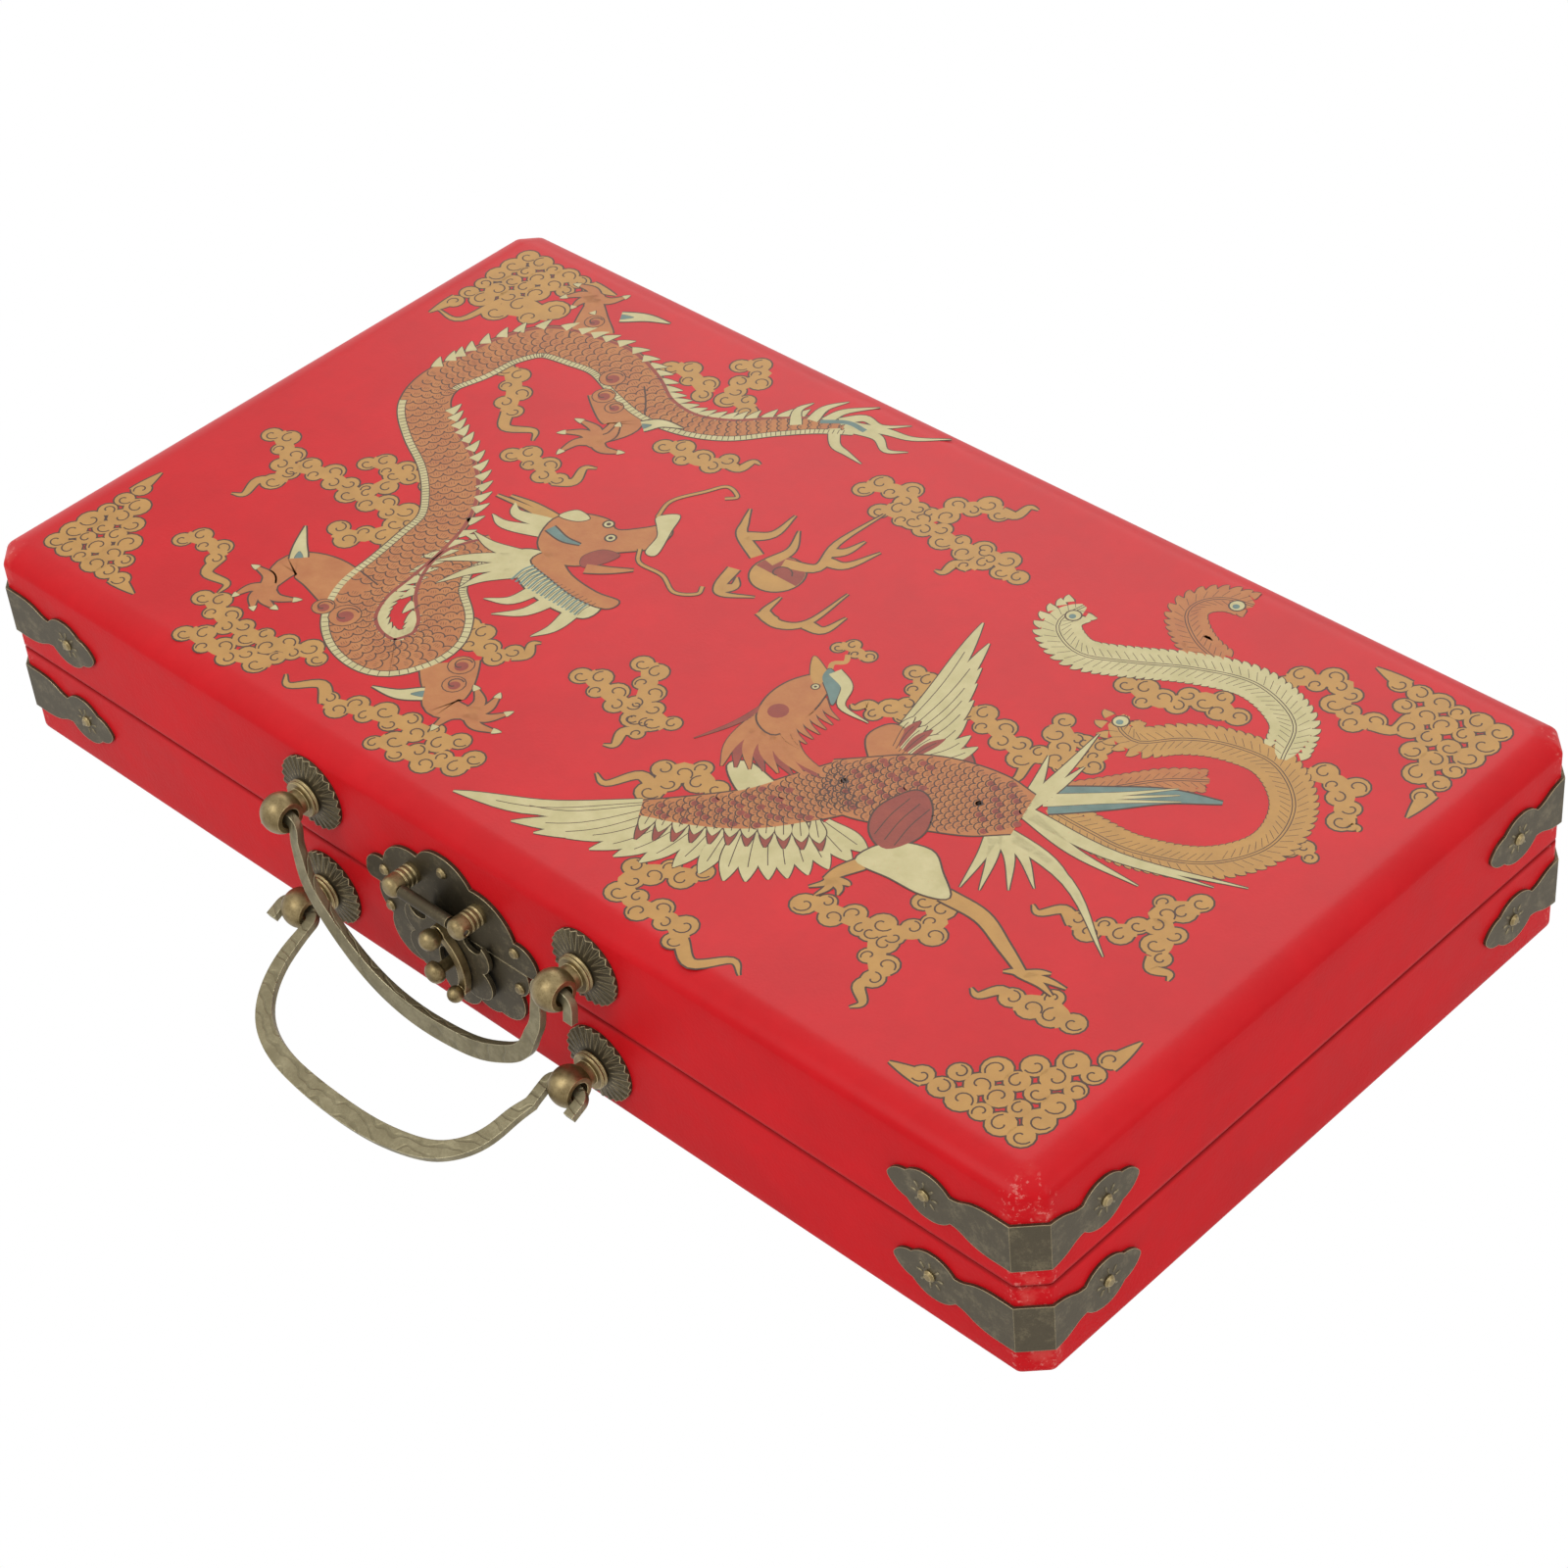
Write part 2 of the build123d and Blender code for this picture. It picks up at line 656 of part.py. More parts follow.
def hinge_leaf(x, first):
    """Leaf on the base's back face with every second knuckle, starting at first."""
    top = seam_z - hinge_leaf_from_axis
    centre_z = top - hinge_leaf_height / 2
    plate = RectangleRounded(hinge_width, hinge_leaf_height, hinge_leaf_corner)
    leaf = extrude(back_plane * Pos(-x, centre_z) * plate, amount=hinge_leaf_thickness)
    axis_y = -face_y + hinge_axis_from_face
    for index in range(first, hinge_knuckles, 2):
        low, high = knuckle_span(index)
        middle = x + (low + high) / 2
        barrel_part = Pos(middle, axis_y, seam_z) * Cylinder(
            hinge_knuckle_radius, high - low, rotation=(0, 90, 0)
        )
        tab = block(
            high - low,
            hinge_leaf_thickness,
            top - hinge_leaf_corner,
            seam_z,
            middle,
            -face_y + hinge_leaf_thickness / 2,
        )
        leaf += barrel_part + tab
    bore = Cylinder(hinge_pin_radius + running_clearance, 2 * hinge_width, rotation=(0, 90, 0))
    leaf -= Pos(x, axis_y, seam_z) * bore
    for place in hinge_nail_places(x):
        leaf -= place * nail_hole()
    return leaf


def hinge_nail_places(x):
    """Three nails in a leaf of the base."""
    z = seam_z - hinge_leaf_from_axis - hinge_leaf_height / 2
    spots = [(-11.5, 1.8), (0.0, -2.6), (11.5, 1.8)]
    return [back_plane * Pos(-x + along, z + up, hinge_leaf_thickness) for along, up in spots]


def hinge_pin(x):
    """Pin through all the knuckles of one hinge."""
    axis_y = -face_y + hinge_axis_from_face
    return Pos(x, axis_y, seam_z) * Cylinder(hinge_pin_radius, hinge_width, rotation=(0, 90, 0))


# ---------------------------------------------------------------- assembly
def four_corners(part):
    """The front right lower piece and its copies at the other corners of the base."""
    right_back = mirror(part, about=Plane.XZ)
    return {
        "front_right": part,
        "front_left": mirror(part, about=Plane.YZ),
        "back_right": right_back,
        "back_left": mirror(right_back, about=Plane.YZ),
    }


wood = rails()
walls = wall_cover()
bracket_nail = [place * nail() for place in bracket_nail_places()]
bracket_hole = [place * nail_hole() for place in bracket_nail_places()]
corner_nails = four_corners(group(bracket_nail))
corner_holes = four_corners(group(bracket_hole))
corner_brackets = four_corners(bracket())

lower_eye_z = seam_z - lower_handle_below_seam
upper_eye_z = seam_z + upper_handle_above_seam
post_hole = Cylinder(post_shank_radius, 2 * post_shank_length)

hinge_xs = (-hinge_half_span, hinge_half_span)
hinge_nail_spots = [place for x in hinge_xs for place in hinge_nail_places(x)]
hinge_holes = [place * nail_hole() for place in hinge_nail_spots]

corner_cutters = [solid for holes in corner_holes.values() for solid in holes.solids()]
wall_cutters = corner_cutters + hinge_holes

lower_holes = [place * nail_hole() for place in front_nail_places(lower_plate_nails)]
knob_place = front_plane * Pos(0, knob_z, 0)
lower_holes.append(knob_place * Cylinder(knob_neck_radius, 6))

upper_holes = [place * nail_hole() for place in front_nail_places(upper_plate_nails)]
barrel_places = [
    front_plane * Pos(sign * barrel_half_span, hasp_pin_z, plate_thickness) for sign in (-1, 1)
]
upper_holes += [place * barrel_tail_hole() for place in barrel_places]

for half in ("base", "lid"):
    is_lid = half == "lid"
    turn = flip if is_lid else (lambda part: part)
    eye_z = upper_eye_z if is_lid else lower_eye_z
    post_places = [front_plane * Pos(sign * handle_half_span, eye_z, 0) for sign in (-1, 1)]
    front_cutters = [place * post_hole for place in post_places] + (upper_holes if is_lid else lower_holes)
    cutters = [turn(cutter) for cutter in wall_cutters] + front_cutters

    panel = eased_prism(leather_thickness, leather_thickness, cover_height)
    nodes[half + "_panel"] = turn(panel)
    for name, rail in wood.items():
        nodes[half + "_" + name] = turn(rail) - cutters
    nodes[half + "_cover_leather"] = turn(panel_cover())
    nodes[half + "_wall_leather"] = turn(walls) - cutters
    nodes[half + "_lining"] = turn(lining())
    nodes[half + "_dividers"] = turn(dividers())
    nodes[half + "_left_drawer"] = turn(drawer(-drawer_x))
    nodes[half + "_right_drawer"] = turn(drawer(drawer_x))

    for corner, piece in corner_brackets.items():
        nodes[half + "_" + corner + "_bracket"] = turn(piece)
    nails = [turn(solid) for pair in corner_nails.values() for solid in pair.solids()]
    nodes[half + "_bracket_nails"] = group(nails)

    nodes[half + "_rosettes"] = group([place * rosette() for place in post_places])
    for side, place in zip(("left", "right"), post_places):
        nodes[half + "_" + side + "_handle_post"] = place * handle_post()

    first_knuckle = 1 if is_lid else 0
    for side, x in zip(("left", "right"), hinge_xs):
        nodes[half + "_" + side + "_hinge_leaf"] = turn(hinge_leaf(x, first_knuckle))
    nodes[half + "_hinge_nails"] = group([turn(place * nail()) for place in hinge_nail_spots])

nodes["hinge_pins"] = group([hinge_pin(x) for x in hinge_xs])

lower_bail_angle = resting_angle(lower_eye_z)
nodes["lower_handle"] = bail(lower_eye_z, lower_bail_angle, lower_bail_line)
nodes["upper_handle"] = bail(upper_eye_z, upper_bail_angle, upper_bail_line)

nodes["lower_latch_plate"] = lower_plate() - lower_holes
nodes["lower_latch_nails"] = group([place * nail() for place in front_nail_places(lower_plate_nails)])
nodes["latch_knob"] = knob_place * knob()
nodes["upper_latch_plate"] = upper_plate() - upper_holes
nodes["upper_latch_nails"] = group([place * nail() for place in front_nail_places(upper_plate_nails)])
nodes["latch_barrels"] = group([place * barrel() for place in barrel_places])
nodes["hasp_pin"] = hasp_pin()
nodes["hasp"] = hasp()
nodes["lever_rivet"] = lever_rivet()
nodes["latch_lever"] = lever()

os.makedirs("parts", exist_ok=True)
for name, part in nodes.items():
    export_step(part, os.path.join("parts", name + ".step"))

print("lower handle rests at", round(lower_bail_angle, 2), "degrees from straight down")
print("nodes", len(nodes))
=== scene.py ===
"""Red leather game case with printed dragon and phoenix, brass handles, latch, hinges and corners."""

import math

import bpy
import mathutils
import numpy as np
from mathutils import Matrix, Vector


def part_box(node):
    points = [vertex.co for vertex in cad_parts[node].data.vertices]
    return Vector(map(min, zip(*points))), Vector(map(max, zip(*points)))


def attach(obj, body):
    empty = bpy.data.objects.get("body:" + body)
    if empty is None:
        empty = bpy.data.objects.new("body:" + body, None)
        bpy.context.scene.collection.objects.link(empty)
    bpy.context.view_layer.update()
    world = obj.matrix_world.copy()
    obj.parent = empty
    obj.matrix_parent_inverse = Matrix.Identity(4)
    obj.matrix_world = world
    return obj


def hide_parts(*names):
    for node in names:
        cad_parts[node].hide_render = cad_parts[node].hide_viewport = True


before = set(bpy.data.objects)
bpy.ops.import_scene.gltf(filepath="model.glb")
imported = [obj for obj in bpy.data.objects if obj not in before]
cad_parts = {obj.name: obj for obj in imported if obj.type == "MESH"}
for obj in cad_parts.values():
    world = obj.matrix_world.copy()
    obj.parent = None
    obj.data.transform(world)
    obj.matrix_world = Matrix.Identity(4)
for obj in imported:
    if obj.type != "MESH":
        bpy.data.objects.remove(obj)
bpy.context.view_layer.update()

# ---------------------------------------------------------------- table, light and camera
# The case lies on a pale table in soft daylight from above, seen from its front right corner
# and from above with a long lens.

MM = 0.001
table_half = 2.0
table_drop = 0.3 * MM

table_corners = [
    (sign_x * table_half, sign_y * table_half, -table_drop)
    for sign_x, sign_y in ((-1, -1), (1, -1), (1, 1), (-1, 1))
]
table_mesh = bpy.data.meshes.new("table")
table_mesh.from_pydata(table_corners, [], [(0, 1, 2, 3)])
table = bpy.data.objects.new("table", table_mesh)
bpy.context.scene.collection.objects.link(table)


class Value:
    """A shader socket on which Python's operators add Math nodes."""

    def __init__(self, graph, socket):
        self.graph = graph
        self.socket = socket

    def math(self, operation, *others):
        """Result of a Math node fed with this value and the others."""
        inputs = dict(enumerate((self,) + others))
        return self.graph.node("ShaderNodeMath", {"operation": operation}, inputs).out(0)

    def __add__(self, other):
        return self.math("ADD", other)

    __radd__ = __add__

    def __mul__(self, other):
        return self.math("MULTIPLY", other)

    __rmul__ = __mul__

    def __sub__(self, other):
        return self.math("SUBTRACT", other)

    def __rsub__(self, other):
        return (self * -1) + other

    def __truediv__(self, other):
        return self.math("DIVIDE", other)

    def minimum(self, other):
        return self.math("MINIMUM", other)

    def maximum(self, other):
        return self.math("MAXIMUM", other)

    def clip(self):
        """The value held between 0 and 1."""
        return self.maximum(0.0).minimum(1.0)

    def step_up(self, low, high):
        """0 below low, 1 above high, straight between."""
        return ((self - low) / (high - low)).clip()


class Node:
    """A node just made, whose outputs are read as Values."""

    def __init__(self, graph, node):
        self.graph = graph
        self.node = node

    def out(self, name):
        return Value(self.graph, self.node.outputs[name])


class Graph:
    """The node tree of the world or of a material; every new node in it comes from node()."""

    def __init__(self, tree):
        self.tree = tree

    def node(self, kind, settings=None, inputs=None):
        """Adds a node of a kind, applies its settings, then fills its sockets with values or links."""
        made = self.tree.nodes.new(kind)
        for key, value in (settings or {}).items():
            setattr(made, key, value)
        self.fill(made, inputs or {})
        return Node(self, made)

    def fill(self, made, inputs):
        """Links a Value to a socket, or sets the socket to a plain number or colour."""
        for key, value in inputs.items():
            if isinstance(value, Value):
                self.tree.links.new(value.socket, made.inputs[key])
            else:
                made.inputs[key].default_value = value


class Shade(Graph):
    def __init__(self, name):
        self.material = bpy.data.materials.new(name)
        self.material.use_nodes = True
        super().__init__(self.material.node_tree)
        self.surface = self.tree.nodes["Principled BSDF"]

    def place(self):
        """Position in the object's own space, in metres."""
        return self.node("ShaderNodeTexCoord").out("Object")

    def noise(self, size_mm, detail=3.0, rough=0.5, place=None, distortion=0.0):
        """Cloudy noise from 0 to 1 whose blobs are about size_mm across."""
        inputs = {
            "Vector": place or self.place(),
            "Scale": 1.0 / (size_mm * MM),
            "Detail": detail,
            "Roughness": rough,
            "Distortion": distortion,
        }
        return self.node("ShaderNodeTexNoise", None, inputs).out(0)

    def mix(self, share, first, second):
        """Colour that goes from first to second as share goes from 0 to 1."""
        first = first if isinstance(first, Value) else (*first, 1)
        second = second if isinstance(second, Value) else (*second, 1)
        settings = {"data_type": "RGBA", "blend_type": "MIX"}
        return self.node("ShaderNodeMix", settings, {0: share, 6: first, 7: second}).out(2)

    def split(self, vector):
        """The x, y and z Values of a vector."""
        parts = self.node("ShaderNodeSeparateXYZ", None, {0: vector})
        return parts.out(0), parts.out(1), parts.out(2)

    def bump(self, height, depth_mm, under=None):
        """Normal tilted by a height from 0 to 1 that stands depth_mm tall."""
        inputs = {"Height": height, "Distance": depth_mm * MM, "Strength": 1.0}
        if under:
            inputs["Normal"] = under
        return self.node("ShaderNodeBump", None, inputs).out(0)

    def finish(self, **sockets):
        """Sets the surface shader's sockets; double underscores in a name stand for spaces."""
        named = {key.replace("__", " "): value for key, value in sockets.items()}
        for key, value in named.items():
            if isinstance(value, tuple) and len(value) == 3:
                named[key] = (*value, 1)
        self.fill(self.surface, named)
        return self.material


def white_to_the_eye(graph, lit_node, output_node):
    """Shows plain white to camera, glossy and transmitted rays, and the lit shader to the rest."""
    path = graph.node("ShaderNodeLightPath")
    white = graph.node("ShaderNodeBackground", None, {"Color": (1, 1, 1, 1), "Strength": 1.0})
    seen = path.out("Is Camera Ray").maximum(path.out("Is Glossy Ray"))
    seen = seen.maximum(path.out("Is Transmission Ray"))
    lit = Node(graph, lit_node).out(0)
    mixed = graph.node("ShaderNodeMixShader", None, {0: seen, 1: lit, 2: white.out(0)})
    graph.fill(output_node, {"Surface": mixed.out(0)})


daylight = bpy.data.worlds.new("daylight")
daylight.use_nodes = True
bpy.context.scene.world = daylight
sky = daylight.node_tree.nodes["Background"]
sky.inputs["Color"].default_value = (1.0, 0.99, 0.98, 1)
sky.inputs["Strength"].default_value = 0.62
white_to_the_eye(Graph(daylight.node_tree), sky, daylight.node_tree.nodes["World Output"])

table_shade = Shade("pale_table")
table_speck = table_shade.noise(3.0)
table_mesh.materials.append(
    table_shade.finish(
        Base__Color=table_shade.mix(table_speck, (0.86, 0.86, 0.86), (0.9, 0.9, 0.9)),
        Roughness=0.8,
    )
)
white_to_the_eye(table_shade, table_shade.surface, table_shade.tree.nodes["Material Output"])


def axes_matrix(side, rise, back, place):
    """Placement of a lamp or camera from its three axes and its place."""
    columns = np.column_stack([side, rise, back, place])
    return mathutils.Matrix([*columns.tolist(), [0, 0, 0, 1]])


def lamp(name, place, size, watts):
    """Square soft box at place that faces the middle of the case."""
    data = bpy.data.lights.new(name, "AREA")
    data.shape = "SQUARE"
    data.size = size
    data.energy = watts
    light = bpy.data.objects.new(name, data)
    bpy.context.scene.collection.objects.link(light)
    back = np.array(place) / np.linalg.norm(place)
    side = np.cross((0, 0, 1), back)
    side = side / np.linalg.norm(side)
    light.matrix_world = axes_matrix(side, np.cross(back, side), back, place)


lamp("key_lamp", (-0.2, -1.3, 1.5), 1.1, 13.0)
lamp("fill_lamp", (1.6, 0.1, 0.9), 1.0, 7.0)
lamp("back_lamp", (-0.9, 1.3, 1.2), 1.2, 9.0)


def aim_camera(azimuth, elevation, roll, target, distance, lens):
    """Camera on a sphere round the target: azimuth turns from -Y towards +X, roll about the view."""
    azimuth, elevation, roll = (math.radians(angle) for angle in (azimuth, elevation, roll))
    ahead = np.array((math.sin(azimuth), -math.cos(azimuth), 0.0))
    back = ahead * math.cos(elevation) + np.array((0.0, 0.0, math.sin(elevation)))
    side = np.cross((0, 0, 1), back)
    side = side / np.linalg.norm(side)
    rise = np.cross(back, side)
    turned_side = math.cos(roll) * side + math.sin(roll) * rise
    turned_rise = math.cos(roll) * rise - math.sin(roll) * side
    data = bpy.data.cameras.new("camera")
    data.lens = lens
    data.sensor_width = 36.0
    data.clip_start = 0.01
    camera = bpy.data.objects.new("camera", data)
    bpy.context.scene.collection.objects.link(camera)
    place = np.array(target) + distance * back
    camera.matrix_world = axes_matrix(turned_side, turned_rise, back, place)
    bpy.context.scene.camera = camera


aim_camera(47.716, 40.636, -5.723, (-4.41 * MM, 13.93 * MM, 0), 938.8 * MM, 85.19)
bpy.context.scene.view_settings.view_transform = "Standard"

# ---------------------------------------------------------------- wooden halves
# Each half is a shallow softwood tray: a panel with four rails glued round it, front and back
# rails at full length.  The leather hides it but for the rails' inner faces.


def wood(name, dark, light):
    """Long-grained wood: stretched noise rings along X with fine pores."""
    shade = Shade(name)
    place = shade.place()
    along_x = {"Vector": place, "Scale": (0.12, 1.0, 1.0)}
    stretched = shade.node("ShaderNodeMapping", {"vector_type": "POINT"}, along_x).out(0)
    rings = shade.noise(5.0, 5.0, 0.6, stretched, 1.2)
    pores = shade.noise(0.8, 3.0, 0.6, stretched)
    colour = shade.mix(rings.step_up(0.3, 0.7), dark, light)
    colour = shade.mix(pores.step_up(0.55, 0.8) * 0.4, colour, tuple(c * 0.5 for c in dark))
    return shade.finish(
        Base__Color=colour,
        Roughness=0.55 + pores * 0.15,
        Normal=shade.bump(pores + rings * 0.3, 0.08),
    )


def dress(material, *names):
    """Gives CAD nodes a material."""
    for name in names:
        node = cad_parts[name]
        node.data.materials.clear()
        node.data.materials.append(material)


pine = wood("pine", (0.42, 0.24, 0.11), (0.62, 0.42, 0.22))
for half in ("base", "lid"):
    dress(pine, half + "_panel", *(f"{half}_{side}_rail" for side in ("front", "back", "left", "right")))

# ---------------------------------------------------------------- leather covers
# Thin red leathercloth glued over each wooden half: pulled round the eased edges of the panel,
# down the chamfered corners and over the rim at the seam.  Smooth, faintly grained, slightly
# glossy, rubbed pale at the exposed corners.

case_half_x, case_half_y, base_rim_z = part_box("base_wall_leather")[1]
lid_top_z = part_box("lid_cover_leather")[1][2]
seam_z = lid_top_z / 2
leather = 0.8 * MM
corner_leg = 5.6 * MM
corner_round = 2.0 * MM
eased_run = 9.0 * MM
eased_drop = 4.6 * MM
rim_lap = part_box("base_left_rail")[1][0] + case_half_x - 0.3 * MM
worn_reach = 9.0 * MM
seam_band = 1.2 * MM
gloss_depth = 4.0 * MM
# The leather's flat face lies this far inside the CAD box, which leaves room for the print.
print_room = 0.1 * MM


def outline_ring(inset, arc_points=5):
    """Plan outline of the case inset by a distance: eight sides, each corner a small 45 degree arc."""
    leg = corner_leg - inset * (2 - math.sqrt(2))
    radius = max(min(corner_round, 1.15 * leg), 0.02 * MM)
    half_x = case_half_x - inset
    half_y = case_half_y - inset
    corners = []
    for sign_x, sign_y in ((1, 1), (-1, 1), (-1, -1), (1, -1)):
        on_end = (sign_x * half_x, sign_y * (half_y - leg))
        on_long_side = (sign_x * (half_x - leg), sign_y * half_y)
        corners += [on_end, on_long_side] if sign_x == sign_y else [on_long_side, on_end]
    eighth = math.radians(45)
    ring = []
    for index, corner in enumerate(corners):
        turn = eighth * index
        bisector = turn + eighth / 2
        reach = radius / math.cos(eighth / 2)
        middle = np.array(corner) - reach * np.array((math.cos(bisector), math.sin(bisector)))
        angles = turn + np.linspace(0, eighth, arc_points)
        ring.append(middle + radius * np.column_stack([np.cos(angles), np.sin(angles)]))
    return np.concatenate(ring)


def new_piece(name, points, faces, body, material, smooth=True):
    """Mesh object at the origin that rides on a body."""
    mesh = bpy.data.meshes.new(name)
    mesh.from_pydata([tuple(point) for point in np.asarray(points).tolist()], [], faces)
    mesh.materials.append(material)
    mesh.polygons.foreach_set("use_smooth", [smooth] * len(mesh.polygons))
    mesh.update()
    piece = bpy.data.objects.new(name, mesh)
    bpy.context.scene.collection.objects.link(piece)
    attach(piece, body)
    return piece


def grid_faces(rows, columns, start=0):
    """Quads between neighbouring rows of a grid whose rows close on themselves."""
    row, column = np.meshgrid(np.arange(rows - 1), np.arange(columns), indexing="ij")
    here = row * columns + column
    beside = row * columns + (column + 1) % columns
    quads = np.stack([here, beside, beside + columns, here + columns], -1)
    return (quads.reshape(-1, 4) + start).tolist()


def leather_shell(mirror_z):
    """Leather of one half: rings of the plan outline carried along a closed section.

    The section runs from the rim's inner edge over the rim, down the wall, round a quarter
    ellipse onto the panel and to its middle, then back inside at the leather's thickness.
    """
    rim = base_rim_z
    turn = np.radians(np.linspace(0, 90, 15))
    outer = [(rim_lap, rim), (0.5 * MM, rim), (0.15 * MM, rim - 0.15 * MM), (0, rim - 0.5 * MM)]
    outer += [(0, rim - 1.5 * MM), (0, eased_drop + 3 * MM)]
    outer += [(eased_run * (1 - math.cos(angle)), eased_drop * (1 - math.sin(angle))) for angle in turn]
    inner = [(eased_run + 0.6 * MM, leather), (leather, eased_drop + 2 * MM)]
    inner += [(leather, rim - leather), (rim_lap, rim - leather)]

    def level_ring(inset, height, share=1.0):
        flat = outline_ring(inset) * share
        return np.column_stack([flat, np.full(len(flat), height)])

    outer_rings = [level_ring(inset, max(height, print_room)) for inset, height in outer]
    outer_rings += [outer_rings[-1] * (share, share, 1) for share in (0.94, 0.6)]
    inner_rings = [level_ring(inner[0][0], leather, 0.6)]
    inner_rings += [level_ring(inset, height) for inset, height in inner]
    count = len(outer_rings[0])
    outer_middle = len(outer_rings) * count
    start = outer_middle + 1
    last_inner = start + (len(inner_rings) - 1) * count
    inner_middle = last_inner + count
    points = np.concatenate([*outer_rings, [(0, 0, print_room)], *inner_rings, [(0, 0, leather)]])

    around = [(i, (i + 1) % count) for i in range(count)]
    faces = grid_faces(len(outer_rings), count)
    faces += [[outer_middle - count + i, outer_middle - count + after, outer_middle] for i, after in around]
    faces += [[start + after, start + i, inner_middle] for i, after in around][::-1]
    faces += grid_faces(len(inner_rings), count, start)
    faces += [[last_inner + i, last_inner + after, after, i] for i, after in around]
    if mirror_z:
        points[:, 2] = lid_top_z - points[:, 2]
        return points, faces
    return points, [face[::-1] for face in faces]


def leather_grain(shade, place, strength=1.0):
    """Normal of the leathercloth: fine pebbled grain over a very soft waviness."""
    pebble_inputs = {"Vector": place, "Scale": 1 / (0.75 * MM)}
    pebbles = shade.node("ShaderNodeTexVoronoi", {"feature": "SMOOTH_F1"}, pebble_inputs).out(0)
    fine = shade.noise(0.35, 2.0, 0.6, place)
    waves = shade.noise(14.0, 2.0, 0.5, place)
    soft = shade.bump(waves, 0.16 * strength)
    return shade.bump(pebbles * 0.6 + fine * 0.5, 0.05 * strength, soft)


def red_leather():
    """Saturated red leathercloth with faint mottling, painted shade along the seam between the halves, and
    pale rubbing at the corners.
    """
    shade = Shade("red_leather")
    place = shade.place()
    x, y, z = shade.split(place)
    mottle = shade.noise(22.0, 4.0, 0.6, place).step_up(0.35, 0.7)
    smudge = shade.noise(5.0, 5.0, 0.65, place).step_up(0.45, 0.75)
    colour = shade.mix(mottle, (0.53, 0.007, 0.011), (0.60, 0.009, 0.014))
    colour = shade.mix(smudge * 0.25, colour, (0.47, 0.006, 0.010))
    # Painted shade: the leather is darkened in a band along the seam between lid and base, where the gap lies
    # in shade.
    seam_painted_shade = 1 - ((z - seam_z).math("ABSOLUTE") / seam_band).clip()
    colour = shade.mix(seam_painted_shade * 0.75, colour, (0.16, 0.012, 0.012))
    reach_x = (x.math("ABSOLUTE") - (case_half_x - worn_reach)).maximum(0.0)
    reach_y = (y.math("ABSOLUTE") - (case_half_y - worn_reach)).maximum(0.0)
    corner = (reach_x * reach_y / (20 * MM * MM)).clip()
    chips = shade.noise(1.6, 4.0, 0.7, place).step_up(0.56, 0.64)
    rub = shade.noise(7.0, 4.0, 0.6, place).step_up(0.5, 0.66)
    colour = shade.mix(corner * rub * 0.3, colour, (0.72, 0.16, 0.13))
    colour = shade.mix(corner * chips * 0.3, colour, (0.8, 0.42, 0.36))
    rough = 0.4 + mottle * 0.06 - smudge * 0.05
    return shade.finish(
        Base__Color=colour,
        Roughness=rough,
        Specular__IOR__Level=0.05,
        Normal=leather_grain(shade, place),
        Coat__Weight=((z - (lid_top_z - gloss_depth)) / (3.5 * MM)).clip() * 0.38,
        Coat__Roughness=0.3,
    )


leather_material = red_leather()
for half, is_lid in (("base", False), ("lid", True)):
    points, faces = leather_shell(is_lid)
    piece = new_piece(half + "_leather", points, faces, half, leather_material)
    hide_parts(half + "_cover_leather", half + "_wall_leather")

# ---------------------------------------------------------------- printing inks
# The lid's picture is block-printed in six flat oil inks, pale and ochre fills inside brown
# outlines.  Each ink is a film of its own: later colours lie a hair higher than earlier ones.
# Places in the picture are in millimetres from the middle of the lid, X right and Y back.

print_floor = lid_top_z - 0.16 * MM
print_top = lid_top_z - 0.096 * MM
layer = 0.0045 * MM
hair_steps = 61
ink_edge = 0.48


def anticlockwise(outline):
    """The closed outline, turned round if it runs clockwise."""
    outline = np.asarray(outline, float)
    after = np.roll(outline, -1, axis=0)
    area = np.sum(outline[:, 0] * after[:, 1] - after[:, 0] * outline[:, 1])
    return outline if area > 0 else outline[::-1]


